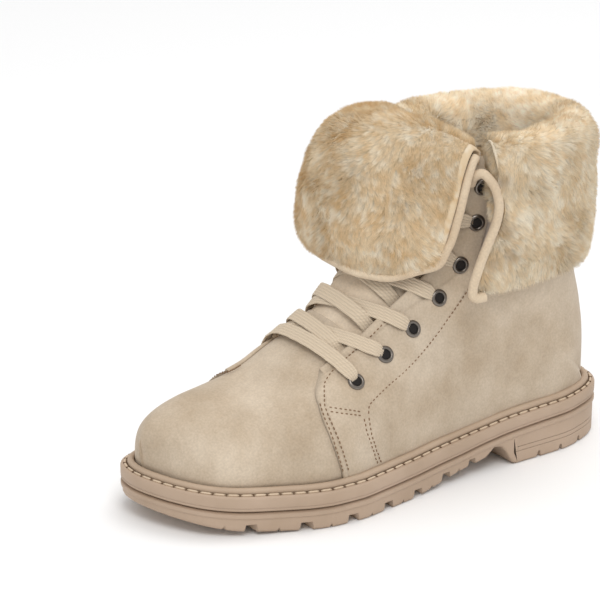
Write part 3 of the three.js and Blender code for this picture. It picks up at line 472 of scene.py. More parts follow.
def rubber(name, low, high, bevel=0.0):
    m, tree, node = principled(name, high, .62)
    place = tree.nodes.new("ShaderNodeTexCoord").outputs["Object"]
    cloud = texture(tree, "ShaderNodeTexNoise", 40, 3, place)
    link(tree, ramp(tree, cloud.outputs["Fac"], [(.3, low), (.7, high)]), node.inputs["Base Color"])
    grain = texture(tree, "ShaderNodeTexNoise", 1500, 2, place)
    normal = None
    if bevel:
        soft = tree.nodes.new("ShaderNodeBevel")
        soft.samples = 4
        soft.inputs["Radius"].default_value = bevel
        normal = soft.outputs["Normal"]
    link(tree, bump(tree, grain.outputs["Fac"], .1, .0002, normal), node.inputs["Normal"])
    return m


def tinted(name, roughness, sheen=0.0):
    m, tree, node = principled(name, (1, 1, 1), roughness, sheen=sheen)
    link(tree, tint_of(tree), node.inputs["Base Color"])
    return m


def woven(name, low, high):
    m, tree, node = principled(name, high, .85, sheen=.1)
    uv = tree.nodes.new("ShaderNodeUVMap")
    uv.uv_map = "UVMap"
    split = tree.nodes.new("ShaderNodeMapping")
    split.inputs["Scale"].default_value = (1, 1, 1)
    link(tree, uv.outputs["UV"], split.inputs["Vector"])
    wave = texture(tree, "ShaderNodeTexWave", 1.1, 1, split.outputs["Vector"], Distortion=.6)
    wave.bands_direction = "DIAGONAL"
    colour = ramp(tree, wave.outputs["Fac"], [(.1, low), (.7, high)])
    link(tree, multiply(tree, colour, tint_of(tree)), node.inputs["Base Color"])
    link(tree, bump(tree, wave.outputs["Fac"], .5, .0003), node.inputs["Normal"])
    return m


NUBUCK = nubuck("nubuck", srgb(176, 157, 133), srgb(200, 184, 163))
LEATHER = nubuck("piping_leather", srgb(196, 174, 146), srgb(214, 196, 170), tint=False)
SOLE = rubber("sole_rubber", srgb(169, 146, 124), srgb(180, 157, 136), bevel=.0005)
WELT = rubber("welt_rubber", srgb(172, 149, 126), srgb(182, 160, 137))
WELT_STITCH = rubber("welt_stitch", srgb(196, 174, 148), srgb(206, 185, 160))
# Dark brown for painted shade: the ticks and the line round the welt.
PAINTED_SHADE = principled("shadow_line", srgb(112, 88, 66), .9)[0]
THREAD = principled("thread", srgb(126, 98, 72), .8)[0]
METAL = principled("gunmetal", srgb(120, 113, 106), .28, metallic=.9)[0]
# Near-black for painted shade inside the eyelet holes.
HOLE_SHADE = principled("hole", srgb(24, 19, 16), .9)[0]
LINING = nubuck("lining", srgb(168, 142, 108), srgb(190, 166, 132), tint=False)
def fine_hair(name, through=.3):
    """Thin hairs pass light on as well as bouncing it."""
    m, tree, node = principled(name, (1, 1, 1))
    tree.nodes.remove(node)
    kinds = ("BsdfDiffuse", "BsdfTranslucent", "MixShader")
    front, back, both = (tree.nodes.new("ShaderNode" + kind) for kind in kinds)
    both.inputs["Fac"].default_value = through
    tint = tint_of(tree)
    link(tree, tint, front.inputs["Color"])
    link(tree, tint, back.inputs["Color"])
    link(tree, front.outputs["BSDF"], both.inputs[1])
    link(tree, back.outputs["BSDF"], both.inputs[2])
    link(tree, both.outputs["Shader"], tree.nodes["Material Output"].inputs["Surface"])
    return m


FUR = tinted("fur", .95, sheen=.25)
HAIR = fine_hair("fur_hair")
LACE = woven("lace_weave", srgb(192, 173, 148), srgb(220, 204, 182))


# Sole
# level, up from it, inset
OUTSOLE_WALL = [
    (GROUND, 0, 2.2), (GROUND, .35, 1.5), (GROUND, 1.3, 1.0), (GROOVE, -3.8, .75), (GROOVE, -3.3, .55),
    (GROOVE, -2.95, .1), (GROOVE, -2.6, 0), (GROOVE, -1.1, 0), (GROOVE, -.8, .35), (GROOVE, -.15, 2.2)]
MIDSOLE_WALL = [
    (GROOVE, .15, 2.2), (GROOVE, .75, .75), (GROOVE, 1.2, .3), (GROOVE, 2.0, .12), (GROOVE, 2.35, .5),
    (GROOVE, 2.7, .12), (GROOVE, 3.1, 0), (TOP, -1.3, 0), (TOP, -.5, .25), (TOP, -.1, .8), (TOP, 0, 1.2),
    (TOP, 0, 3.9), (TOP, -.4, 4.2)]
# inset, up
WELT_BEAD = [
    (3.7, -.3), (3.55, .5), (3.65, 1.5), (4.1, 2.4), (4.8, 2.95), (5.7, 3.05), (6.5, 2.75), (7.1, 2.1),
    (7.3, 0), (5.5, -.4)]
SOLE_STEPS = 150
WELT_PITCH = 6.9
BOX_FACES = [(0, 1, 2, 3), (7, 6, 5, 4), (0, 4, 5, 1), (1, 5, 6, 2), (2, 6, 7, 3), (3, 7, 4, 0)]


def stacked(n, rows):
    rings = []
    for which, up, inset in rows:
        ring = outline(n, inset)
        rings.append(np.column_stack([ring, rise(at_y(ring[:, 1]), which) + up]))
    return rings


def close_stack(rings):
    count = len(rings[0])
    verts = np.concatenate(rings)
    faces = list(grid_faces(len(rings), count, wrap=True))
    half = count // 2
    for base, flip in ((0, True), ((len(rings) - 1) * count, False)):
        for i in range(half):
            f = [base + i, base + i + 1, base + (count - i - 1) % count, base + (count - i) % count]
            f = list(dict.fromkeys(f))
            if len(f) > 2:
                faces.append(tuple(f[::-1] if flip else f))
    return verts, faces


def build_sole():
    n = SOLE_STEPS
    verts, faces = close_stack(stacked(n, OUTSOLE_WALL))
    outsole = solid("outsole_look", verts, faces, SOLE, smooth_shade=False)
    parts = []
    for at, wide, deep in NOTCHES:
        g, w = float(rise(at, GROUND)), wide / 2
        section = [(-w - .6, g - 3), (w + .6, g - 3), (w - 1, g + deep), (1 - w, g + deep)]
        box = [(x, y_at(at) + dy, z) for x in (-80, 80) for dy, z in section]
        parts.append((box, BOX_FACES))
    lugs = sorted(q[0] for q in NOTCHES)
    for a, b in zip(lugs[3:], lugs[4:] + [.95]):
        at = (a + b) / 2
        g = float(rise(at, GROUND))
        for side in (1, -1):
            x = float(half_at(at, side, 0))
            box = [(x + side * dx, y_at(at) + dy, g + z)
                   for dx in (-4, 4) for dy, z in ((-1.6, -1), (1.6, -1), (.2, 2.2), (-.2, 2.2))]
            parts.append((box, BOX_FACES))
    # thin lines round the heel block
    for low, high, reach in ((6.6, 7.3, .275), (9.1, 9.8, .262)):
        ring = outline(n, 0)
        keep = [i for i in range(len(ring)) if at_y(ring[i, 1]) < reach]
        cut = next((k for k in range(1, len(keep)) if keep[k] != keep[k - 1] + 1), 0)
        order = keep[cut:] + keep[:cut]
        outer, inner = outline(n, -2)[order], outline(n, 1.4)[order]
        rings = np.stack([np.column_stack([outer, np.full(len(order), low)]),
                          np.column_stack([inner, np.full(len(order), low + .2)]),
                          np.column_stack([inner, np.full(len(order), high - .2)]),
                          np.column_stack([outer, np.full(len(order), high)])], 1)
        f = [tuple(q) for q in grid_faces(len(order), 4, wrap=True)]
        f += [(3, 2, 1, 0), tuple(range(4 * len(order) - 4, 4 * len(order)))]
        parts.append((rings.reshape(-1, 3), f))
    verts, faces = many(parts)
    cutter = solid("cutter", verts, faces, SOLE, ride=False)
    outward(cutter)
    outward(outsole)
    boolean = outsole.modifiers.new("cut", "BOOLEAN")
    boolean.operation = "DIFFERENCE"
    boolean.solver = "EXACT"
    boolean.use_self = True
    boolean.object = cutter
    bpy.context.view_layer.update()
    done = bpy.data.meshes.new_from_object(outsole.evaluated_get(bpy.context.evaluated_depsgraph_get()))
    outsole.modifiers.clear()
    outsole.data = done
    bpy.data.objects.remove(cutter)
    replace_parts(outsole, "outsole")

    verts, faces = close_stack(stacked(n, MIDSOLE_WALL))
    midsole = solid("midsole_look", verts, faces, SOLE)
    outward(midsole)
    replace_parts(midsole, "midsole")

    rings = []
    for inset, up in WELT_BEAD:
        ring = outline(n, inset)
        rings.append(np.column_stack([ring, on_top(at_y(ring[:, 1])) + up]))
    rings = np.stack(rings, 1)
    count = len(rings)
    faces = [tuple(f) for f in grid_faces(count + 1, len(WELT_BEAD), wrap=True)]
    faces = [tuple(i % (count * len(WELT_BEAD)) for i in f) for f in faces]
    welt = solid("welt_look", rings.reshape(-1, 3), faces, WELT)
    outward(welt)
    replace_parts(welt, "welt")

    # stitches lying on the edge of the midsole, with a dark tick of painted shade between each pair
    ring = outline(600, 2.35)
    d = np.concatenate([[0], np.cumsum(np.linalg.norm(np.diff(np.vstack([ring, ring[:1]]), axis=0), axis=1))])
    line = np.vstack([ring, ring[:1]])
    step = WELT_PITCH
    total = int(d[-1] / step)
    stitches, ticks = [], []
    for k in range(total):
        for kind, a, b, r in ((0, .07, .93, .62), (1, .97, 1.03, .4)):
            s = np.linspace((k + a) * step, (k + b) * step, 6 if kind == 0 else 3)
            x, y = np.interp(s, d, line[:, 0]), np.interp(s, d, line[:, 1])
            lift = (.35, .42)[kind]
            z = rise(at_y(y), TOP) + lift
            radius = np.full(len(s), r)
            if kind == 0:
                radius[[0, -1]] = .3
                stitches.append(tube(np.column_stack([x, y, z]), radius, 6))
            else:
                dx = unit(np.array([[-(y[-1] - y[0]), x[-1] - x[0]]]))[0]
                across = np.array([-.9, 0, .9])
                ticks.append(tube(np.column_stack([x[1] + dx[0] * across, y[1] + dx[1] * across, z]), r, 5))
    verts, faces = many(stitches)
    solid("welt_stitches", verts, faces, WELT_STITCH)
    verts, faces = many(ticks)
    solid("welt_shade_ticks", verts, faces, PAINTED_SHADE)
    # a dark cord of painted shade round the welt, where the upper meets it
    ring = outline(200, 3.25)
    z = rise(at_y(ring[:, 1]), TOP) + .12
    loop = np.column_stack([ring, z])
    verts, faces = tube(np.vstack([loop, loop[:1]]), .28, 5)
    solid("welt_shadow_line", verts, faces, PAINTED_SHADE)


build_sole()


# Upper
def tint_upper(p):
    """Cloudy light and dark patches, darker along the sole."""
    c = 1 + .045 * noise(p, 34, 1) + .03 * noise(p, 14, 2) + .012 * noise(p, 5, 3)
    low = smooth(12, 0, p[..., 2] - on_top(at_y(p[..., 1])))
    c = c - .05 * low
    warm = np.stack([c, c * (1 - .012 * low), c * (1 - .03 * low)], -1)
    return warm


# centre (side, station, up), direction of the fold along (y, z), length, width, depth
CREASES = [
    ((42, .80, 34), (.35, 1), 18, 5, -.7), ((40, .855, 36), (.2, 1), 15, 5, -.6),
    ((44, .765, 38), (.5, 1), 15, 4, .45), ((30, .30, 92), (-.9, .6), 26, 5, -.9),
    ((33, .22, 74), (-1, .45), 26, 6, -.8), ((32, .14, 88), (-.6, 1), 24, 5, -.7),
    ((34, .38, 60), (-.8, .7), 24, 6, -.6), ((36, .45, 50), (-1, .5), 22, 6, .5),
    ((28, .12, 60), (-.3, 1), 22, 6, .6)]


def creases(p, normal):
    """Soft dents and walking folds laid one by one, mm outwards."""
    h = .35 * noise(p, 30, 4) + .12 * noise(p, 11, 5)
    for (x, at, z), (dy, dz), length, width, depth in CREASES:
        for side in (1, -1):
            q = p - np.array([side * x, y_at(at), z])
            near = smooth(34, 12, np.abs(q[..., 0]))
            l = math.hypot(dy, dz)
            u = (q[..., 1] * dy + q[..., 2] * dz) / l
            w = (-q[..., 1] * dz + q[..., 2] * dy) / l
            h = h + depth * near * np.exp(-(u / length) ** 2 - (w / width) ** 2)
    return p + normal * h[..., None]


def grid_normals(p, sign=1):
    return sign * unit(np.cross(np.gradient(p, axis=1), np.gradient(p, axis=0)))


def face_out(p, normal):
    """Flips the normals so that they point away from the boot's middle line."""
    away = p - np.stack([np.full(p.shape[:-1], -6.0), p[..., 1] * .9 - 4, np.full(p.shape[:-1], 20.0)], -1)
    return normal if np.mean(np.sum(away * normal, -1)) > 0 else -normal


# Vamp
vamp_t = np.concatenate([
    np.linspace(.06, 1, 14)[:-1], np.linspace(1, 3.2, 40)[:-1], np.linspace(3.2, VAMP_THROAT, 120)])
half_v = 1 - np.linspace(1, 0, 62) ** 1.7
half_v = np.unique(np.concatenate([half_v[half_v < .5], 1 - np.linspace(math.sqrt(.5), 0, 34) ** 2]))


def ring_of(t, offset):
    a, b = upper_point(t, half_v, 1, offset), upper_point(t, half_v, -1, offset)
    return np.concatenate([a, b[::-1][1:]])


rows = [ring_of(t, 0.0) for t in vamp_t]
p = np.stack(rows)
p[0, :, 0] = SECTIONS[0, 8] * BALL
p = creases(p, face_out(p, grid_normals(p)))
# the vamp's throat edge is turned under
for dt, drop in ((.02, -.5), (.02, -1.3), (-.05, -1.9), (-.5, -2.1)):
    p = np.concatenate([p, ring_of(VAMP_THROAT + dt, drop)[None]])
faces = grid_faces(p.shape[0], p.shape[1])
solid("vamp", p.reshape(-1, 3), faces, NUBUCK, colour=tint_upper(p).reshape(-1, 3))

# Quarters
front_curve = {
    side: curve(QUARTER_FRONT[:, 0] * LEG, QUARTER_FRONT[:, column]) for side, column in ((1, 1), (-1, 2))}
facing_t = np.linspace(5.5, 20, 120)
facing_v = {}
for side in (1, -1):
    r = reach_at(facing_t, THROAT[side], OVERLAY)
    facing_v[side] = (facing_t, 1 - .3 * r * r)


def edge_v(t, side):
    return np.interp(t, *facing_v[side])


def quarter_tv(a, b, side):
    """Turn and share round for a place on the quarter: a from the front edge back, b up to the facing."""
    b = np.asarray(b, float)
    lo, hi = np.full(b.shape, 4.2), np.full(b.shape, 9.5)
    for _ in range(26):
        t = (lo + hi) / 2
        q = upper_point(t, b * edge_v(t, side), side, OVERLAY)
        ahead = at_y(q[..., 1]) > front_curve[side](q[..., 2])
        lo, hi = np.where(ahead, t, lo), np.where(ahead, hi, t)
    start = (lo + hi) / 2 + .3 * smooth(.9, 1, b) ** 2
    t = mix(start, 20.0, a)
    return t, b * edge_v(t, side)


quarter_a = np.concatenate([np.linspace(0, .06, 34)[:-1], np.linspace(.06, 1, 160)])
quarter_b = np.concatenate([np.linspace(0, .22, 20)[:-1], np.linspace(.22, 1, 62)])
# Turned edge of the facing: mm past the throat's edge, mm off the upper
FOLD = [
    (-4.2, OVERLAY), (-3.7, OVERLAY - .1), (-3.2, OVERLAY - .5), (-2.7, OVERLAY - .05), (-2.0, OVERLAY + .5),
    (-1.1, OVERLAY + .75), (-.3, OVERLAY + .5), (.35, 1.4), (.85, .8), (1.0, .2), (1.0, -.6),
    (.7, -1.3), (0, -1.75), (-3, -2.0), (-9, -2.0), (-16, -2.0)]


def edge_shade(p):
    """Darker in the gap under the front edge and past the lip of the facing."""
    shade = np.ones(p.shape[:2])
    shade[:4] = np.array([.3, .4, .6, .85])[:, None]
    shade[:, -len(FOLD) + 9:] = .6
    return shade[..., None]


for side in (1, -1):
    A, B = np.meshgrid(quarter_a, quarter_b, indexing="ij")
    t, v = quarter_tv(A, B, side)
    inner = reach_at(t, THROAT[side] + side * 5.2, OVERLAY)
    v = B * (1 - .3 * inner * inner)
    p = upper_point(t, v, side, OVERLAY)
    # turned and stitched front edge
    behind = (front_curve[side](p[..., 2]) - at_y(p[..., 1])) * LENGTH
    roll = .55 * np.exp(-((behind - 1.1) / .9) ** 2) - .4 * np.exp(-((behind - 2.9) / .5) ** 2)
    n = face_out(p, grid_normals(p))
    p = creases(p, n) + n * (roll * smooth(1, .8, B))[..., None]
    columns = [p]
    te = t[:, -1]
    for dx, off in FOLD:
        r = reach_at(te, THROAT[side] - side * dx, off)
        columns.append(by_reach(te, r, off)[:, None])
    p = np.concatenate(columns, 1)
    # front edge: down onto the vamp
    lip = []
    for da, off in ((-.0016, 1.15), (-.0022, .6), (-.0022, -.2), (.004, -.9)):
        tt, vv = quarter_tv(da, quarter_b, side)
        row = upper_point(tt, vv, side, off)
        extra = np.repeat(row[-1:], len(FOLD), 0)
        lip.append(np.concatenate([row, extra]))
    p = np.concatenate([np.stack(lip[::-1]), p])
    solid("quarter_outer" if side > 0 else "quarter_inner", p.reshape(-1, 3),
          grid_faces(p.shape[0], p.shape[1], flip=side < 0), NUBUCK,
          colour=(tint_upper(p) * edge_shade(p)).reshape(-1, 3))

for name in ("vamp", "quarter_outer", "quarter_inner"):
    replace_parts(bpy.data.objects[name], "upper")

# Rolled edge of the inner facing
tt = np.linspace(8.6, 19.5, 90)
r = reach_at(tt, THROAT[-1], OVERLAY)
roll = by_reach(tt, r, OVERLAY) + np.array([.5, 0, .9])
verts, faces = tube(roll, 1.5, 12)
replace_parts(solid("facing_roll", verts, faces, LEATHER), "upper")

# Lining inside the leg and foot
for side in (1, -1):
    tt, vv = np.meshgrid(np.linspace(1.5, 20, 90), np.linspace(0, 1, 30), indexing="ij")
    limit = np.where(tt > 9.9, edge_v(tt, side), 1.0)
    p = upper_point(tt, vv * limit, side, -WALL)
    solid("lining_outer" if side > 0 else "lining_inner", p.reshape(-1, 3),
        grid_faces(90, 30, flip=side > 0), LINING)

# Tongue
tongue_t = np.linspace(9.2, 19.9, 110)
tongue_edge = curve([9, 12, 15, 20], [.8, .8, .84, .86])
s = np.linspace(-1, 1, 60)


def tongue_point(t, s, offset):
    v = 1 - (1 - tongue_edge(t)) * s * s
    return np.where((s >= 0)[..., None], upper_point(t, v, 1, offset), upper_point(t, v, -1, offset))


TT, S = np.meshgrid(tongue_t, s, indexing="ij")
front = tongue_point(TT, S, -WALL - .9)
puff = 2.0 * smooth(1, .2, np.abs(S)) * (1 + .25 * noise(front, 16, 2))
front = front + face_out(front, grid_normals(front)) * puff[..., None]
back = tongue_point(TT, S, -WALL - 5.2)
p = np.concatenate([front, back[:, ::-1]], 1)
faces = list(grid_faces(p.shape[0], p.shape[1], wrap=True))
# The tongue's tint is raised 1.2 times: painted light, as the tongue sits in shade between the facings.
tongue = solid("tongue_look", p.reshape(-1, 3), faces, NUBUCK, colour=tint_upper(p).reshape(-1, 3) * 1.2)
outward(tongue)
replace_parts(tongue, "tongue")


# Eyelets
def at_reach(t, reach, offset=0.0):
    t, reach = np.broadcast_arrays(np.asarray(t, float), np.asarray(reach, float))
    lift = np.broadcast_to(np.asarray(offset, float), t.shape)
    return by_reach(t, reach) + reach_normal(t, reach) * lift[..., None]


def frame_from(normal):
    """Two directions across the given one."""
    a = unit(np.cross(normal, np.array([0, 0, 1.0])))
    return a, np.cross(normal, a)


def lathe(profile, centre, normal, steps=28):
    a, b = frame_from(normal)
    turn = np.linspace(0, 2 * math.pi, steps, endpoint=False)
    rings = []
    for w in turn:
        direction = a * math.cos(w) + b * math.sin(w)
        rings.append([centre + direction * r + normal * z for r, z in profile])
    verts = np.array(rings).reshape(-1, 3)
    n = len(profile)
    faces = [((i * n + j), ((i + 1) % steps) * n + j, ((i + 1) % steps) * n + j + 1, i * n + j + 1)
             for i in range(steps) for j in range(n - 1)]
    return verts, faces


holes = {1: [], -1: []}
RING = [(2.65, -2.2), (2.65, .3), (2.8, .75), (3.2, 1.0), (3.75, .95), (4.3, .6), (4.55, .2), (4.6, -.1)]
for k, row in enumerate(EYELETS):
    for side in (1, -1):
        t, around = (row[0], row[1]) if side > 0 else (row[2], row[3])
        reach = side * math.sqrt((1 - around) / .3)
        centre = at_reach(t, reach, OVERLAY)
        normal = reach_normal(t, reach, OVERLAY)
        holes[side].append((t, reach, centre, normal))
        verts, faces = lathe(RING, centre + normal * .25, normal)
        name = f"eyelet_{'outer' if side > 0 else 'inner'}_{k + 1}"
        ring = solid(name + "_look", verts, faces, METAL)
        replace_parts(ring, name)
        # a flat near-black disc in each eyelet: painted shade in its hole
        verts, faces = lathe([(0, -.05), (1.4, -.05), (2.7, -.05)], centre + normal * .4, normal, 20)
        solid(name + "_hole_shade", verts, faces, HOLE_SHADE)


# Laces: flat woven ribbons with ribs along their length
LACE_WIDE, LACE_THICK = 8.0, 1.3


def ribbon(points, normals, name, into=(True, False), ribs=5):
    """A flat lace along the points, narrowed at each end that enters a hole."""
    points, normals = np.asarray(points), unit(np.asarray(normals))
    n = len(points)
    along = unit(np.gradient(points, axis=0))
    side = unit(np.cross(along, normals))
    normals = np.cross(side, along)
    d = np.concatenate([[0], np.cumsum(np.linalg.norm(np.diff(points, axis=0), axis=1))])
    cross = 41
    rings, uv, tints = [], [], []
    for i in range(n):
        w = np.linspace(-1, 1, cross)
        edge = np.sqrt(np.clip(1 - np.abs(w) ** 6, 0, 1))
        rib = .5 + .5 * np.cos(w * math.pi * ribs)
        high = LACE_THICK / 2 * edge * (.72 + .28 * rib)
        wobble = .10 * math.sin(d[i] * .9) + .06 * math.sin(d[i] * 2.3 + 1)
        width = LACE_WIDE / 2 * (1 + .02 * math.sin(d[i] * .7))
        for enters, gone in zip(into, (d[i], d[-1] - d[i])):
            if enters:
                width *= .5 + .5 * float(smooth(1.2, 7.5, gone))
        top = points[i] + side[i] * (w * width)[:, None] + normals[i] * (high + wobble)[:, None]
        low = points[i] + side[i] * (w[::-1] * width)[:, None] - normals[i] * (high[::-1] - wobble)[:, None]
        rings.append(np.concatenate([top, low]))
        uv.append(np.column_stack([np.full(2 * cross, d[i] * .55), np.concatenate([w, w[::-1]]) * 2.2]))
        # painted shade: the tint darkens the grooves between the ribs
        shade = np.concatenate([.86 + .14 * rib, .86 + .14 * rib[::-1]])
        tints.append(np.repeat(shade[:, None], 3, 1) * np.array([1, .99, .97]))
    verts = np.concatenate(rings)
    faces = grid_faces(n, 2 * cross, wrap=True)
    return solid(name, verts, faces, LACE, uv=np.concatenate(uv), colour=np.concatenate(tints))


def lace_path(side, k, far_t, far_x, lift, dive, sag, steps=46):
    """From the lace hole k on one side to the facing's edge on the other, going under it at the end."""
    t0, r0 = holes[side][k][:2]
    end_x = THROAT[-side]
    end = float(reach_at(np.array([far_t]), end_x + (-side) * far_x, 0.0)[0])
    u = np.linspace(0, 1, steps)
    t = mix(t0, far_t, u) - sag * np.sin(math.pi * u)
    reach = mix(r0, end, u)
    x_throat = THROAT[side]
    p0 = at_reach(t, reach, 0.0)
    inside = side * (x_throat - p0[:, 0])
    beyond = side * (p0[:, 0] - THROAT[-side])
    on_side = OVERLAY + 1.3
    rest = mix(2.0, -.8, smooth(10.3, 11.2, t))
    level = mix(on_side, rest, smooth(-1.5, 13, inside))
    level = level + lift * np.sin(u * math.pi) * smooth(.02, .3, u)
    # leaves the hole, over its ring
    gone = u * np.linalg.norm(p0[-1] - p0[0])
    level = mix(-.6, level + .6 * smooth(8, 4, gone), smooth(-.4, 2.8, gone))
    # goes under the far facing
    level = mix(level, dive, smooth(8, -.5, beyond))
    p = at_reach(t, reach, level)
    return p, reach_normal(t, reach)


for k in range(1, 6):
    far = {1: [q[0] for q in holes[-1]], -1: [q[0] for q in holes[1]]}
    for side, lift, sag in ((1, 0, .35), (-1, 1.9, 0)):
        far_t = mix(far[side][k - 1], far[side][k], .2)
        p, normal = lace_path(side, k, far_t, 4.0, lift, -3.2, sag)
        name = f"lace_{k + 1}_{'outer' if side > 0 else 'inner'}"
        piece = ribbon(p, normal, name)
        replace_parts(piece, f"lace_{k + 1}")

# the lowest lace lies straight across and dives into both holes
a, b = holes[1][0], holes[-1][0]
u = np.linspace(0, 1, 70)
t, reach = mix(a[0], b[0], u), mix(a[1], b[1], u)
level = OVERLAY + 1.9 + .8 * np.sin(math.pi * u)
level = mix(-.6, level, smooth(-.005, .035, u) * smooth(1.005, .965, u))
bar = ribbon(at_reach(t, reach, level), reach_normal(t, reach), "lace_1_look", into=(True, True))
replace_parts(bar, "lace_1")


# Folded collar and flap surfaces
leg_parts = ("outer", "inner", "behind", "front")
leg_size = {key: curve(LEG_OVAL[:, 0], LEG_OVAL[:, 1 + i]) for i, key in enumerate(leg_parts)}
collar_end = {1: curve(COLLAR_END[:, 0], COLLAR_END[:, 1]), -1: curve(COLLAR_END[:, 0], COLLAR_END[:, 2])}


def leg_point(turn, up, out):
    """A point of the leg's oval, turned from the back towards the outer side."""
    c, s = np.cos(turn), np.sin(turn)
    a = np.where(s >= 0, leg_size["outer"](up), leg_size["inner"](up))
    b = np.where(c >= 0, leg_size["behind"](up), leg_size["front"](up))
    n = np.stack([s / a, c / b], -1)
    n = n / np.linalg.norm(n, axis=-1, keepdims=True)
    x = a * s + n[..., 0] * out
    y = y_at(LEG_AT) + b * c + n[..., 1] * out
    return np.stack([x, y, np.broadcast_to(up, x.shape)], -1)


def end_turn(side, up):
    """The turn at which the folded collar ends."""
    at = collar_end[side](up)
    reach = np.where(at < LEG_AT, leg_size["behind"](up), leg_size["front"](up))
    return side * np.arccos(np.clip((y_at(at) - y_at(LEG_AT)) / reach, -1, 1))


section_row = np.arange(len(COLLAR_SECTION))
section_out = curve(section_row, COLLAR_SECTION[:, 0])
section_up = curve(section_row, COLLAR_SECTION[:, 1])


def collar_point(u, row, out=0.0):
    """A point of the folded collar: u round from the outer end, row down its section."""
    z = section_up(row)
    turn = mix(end_turn(1, z), end_turn(-1, z), u)
    fur = smooth(2, 3, row) * smooth(12, 11, row)
    edge = 1 - np.minimum(1, np.minimum(u, 1 - u) * 24 / 1.5)
    p = leg_point(turn, z, section_out(row) - 2.2 * fur * edge + out)
    p[..., 2] += 3.5 * smooth(2.0, .2, np.abs(turn)) * smooth(8.6, 9.6, row) * smooth(14, 13, row)
    return p


flap_row = np.arange(len(FLAP))
flap_columns = [curve(flap_row, FLAP[:, i]) for i in range(5)]


def flap_base(u, w):
    """Point of the flap: u across from the inner side, w rows down from the fold."""
    u, w = np.broadcast_arrays(np.asarray(u, float), np.asarray(w, float))
    knots = np.stack([c(w) for c in flap_columns], -2)
    x = np.array([0, .25, .5, .75, 1])
    i = np.clip(np.searchsorted(x, u, side="right") - 1, 0, 3)
    h = .25
    s = (u - x[i]) / h
    d = np.diff(knots, axis=-2) / h
    m = np.zeros_like(knots)
    m[..., 0, :], m[..., -1, :] = d[..., 0, :], d[..., -1, :]
    a, b = d[..., :-1, :], d[..., 1:, :]
    m[..., 1:-1, :] = np.where(a * b <= 0, 0, 2 * a * b / np.where(a + b == 0, 1, a + b))

    def pick(q, j):
        return np.take_along_axis(q, j[..., None, None], -2)[..., 0, :]
    s = s[..., None]
    p = pick(knots, i) * (1 + 2 * s) * (1 - s) ** 2 + pick(knots, i + 1) * s * s * (3 - 2 * s)
    p = p + h * pick(m, i) * s * (1 - s) ** 2 - h * pick(m, i + 1) * s * s * (1 - s)
    return np.stack([p[..., 0], y_at(p[..., 1]), p[..., 2]], -1)


def flap_point(u, w, depth=0.0):
    """A point of the flap, let in by depth."""
    e, last = .02, len(FLAP) - 1
    u, w = np.broadcast_arrays(np.asarray(u, float), np.clip(np.asarray(w, float), 0, last))
    du = flap_base(np.minimum(u + e, 1), w) - flap_base(np.maximum(u - e, 0), w)
    dw = flap_base(u, np.minimum(w + e, last)) - flap_base(u, np.maximum(w - e, 0))
    n = unit(np.cross(dw, du))
    depth = np.broadcast_to(np.asarray(depth, float), u.shape)
    return flap_base(u, w) - n * depth[..., None]


# Camera at the photograph's angle, metres
EYE = np.array([1.2884, -1.0420, .6574])
EYE_RIGHT = np.array([.56935, .82209, 0])
EYE_UP = np.array([-.27409, .18982, .94279])
EYE_FORWARD = np.array([-.77506, .53678, -.3334])
FOCAL_PX = 3254.2
LENS = 195.25


def seen_at(px, py, side_mm):
    """The point seen at a place of the 600 x 600 picture, at the given distance to the side."""
    ray = EYE_FORWARD + EYE_RIGHT * (px - 300) / FOCAL_PX - EYE_UP * (py - 300) / FOCAL_PX
    return (EYE + ray * (side_mm / 1000 - EYE[0]) / ray[0]) * 1000


# Fur: a soft skin with fine hairs standing on it, swept in patches
def swell(p):
    return 1.1 * noise(p, 19, 3) + .45 * noise(p, 8, 1) + .18 * noise(p, 3.6, 2)


# Dents in the cuff over the folded row of lace holes: picture place, radius mm, depth mm
DENTS = [
    (507, 182, 4.2, 2.6), (500, 197, 3.4, 1.4), (511, 232, 4.6, 2.2), (500, 266, 4.4, 2.4), (514, 258, 4.0, 1.8)]
dents = [(seen_at(x, y, 49.5), radius, depth) for x, y, radius, depth in DENTS]


def dented(p):
    """How deep in a dent each point lies, 0 to 1, and how far it is pushed in."""
    inside, push = np.zeros(p.shape[:-1]), np.zeros(p.shape[:-1])
    for centre, radius, depth in dents:
        d = np.linalg.norm((p - centre) * np.array([.45, 1, 1]), axis=-1) / radius
        w = np.exp(-d * d)
        inside, push = np.maximum(inside, w), push + w * depth
    return inside, push


def fur_colour(p, warmth, rng=None):
    cream, honey, light = (np.array(srgb(*c)) for c in ((236, 217, 186), (220, 188, 143), (250, 241, 222)))
    warm = clamp(warmth + .28 * noise(p, 14, 4) + .4 * noise(p, 3.2, 5), 0, 1)
    c = mix(cream, honey, warm[..., None])
    tips = clamp(.3 - .35 * warmth + .3 * noise(p, 8, 0) + .65 * noise(p, 2.5, 6), 0, .9)
    c = mix(c, light, tips[..., None])
    if rng is not None:
        c = c * (1 + .3 * (rng.rand(*p.shape[:-1], 1) - .5))
    # painted shade: darker brown in the dents over the folded lace holes
    return mix(c, np.array(srgb(150, 118, 80)), (.6 * dented(p)[0])[..., None])


def surface_frame(point, u, v, e=.004, f=.03):
    p = point(u, v)
    across, down = point(u + e, v) - point(u - e, v), point(u, v + f) - point(u, v - f)
    a, d = unit(across), unit(down)
    return p, a, unit(down - a * np.sum(down * a, -1, keepdims=True)), unit(np.cross(d, a))


def pick_even(point, u_range, v_range, count, rng):
    """Places spread evenly over the surface."""
    uv = rng.rand(int(count * 2.6), 2)
    u, v = mix(*u_range, uv[:, 0]), mix(*v_range, uv[:, 1])
    e, f = .004, .03
    across, down = point(u + e, v) - point(u - e, v), point(u, v + f) - point(u, v - f)
    area = np.linalg.norm(np.cross(across, down), axis=-1)
    keep = rng.rand(len(u)) < area / np.mean(area) * count / len(u)
    return u[keep], v[keep]


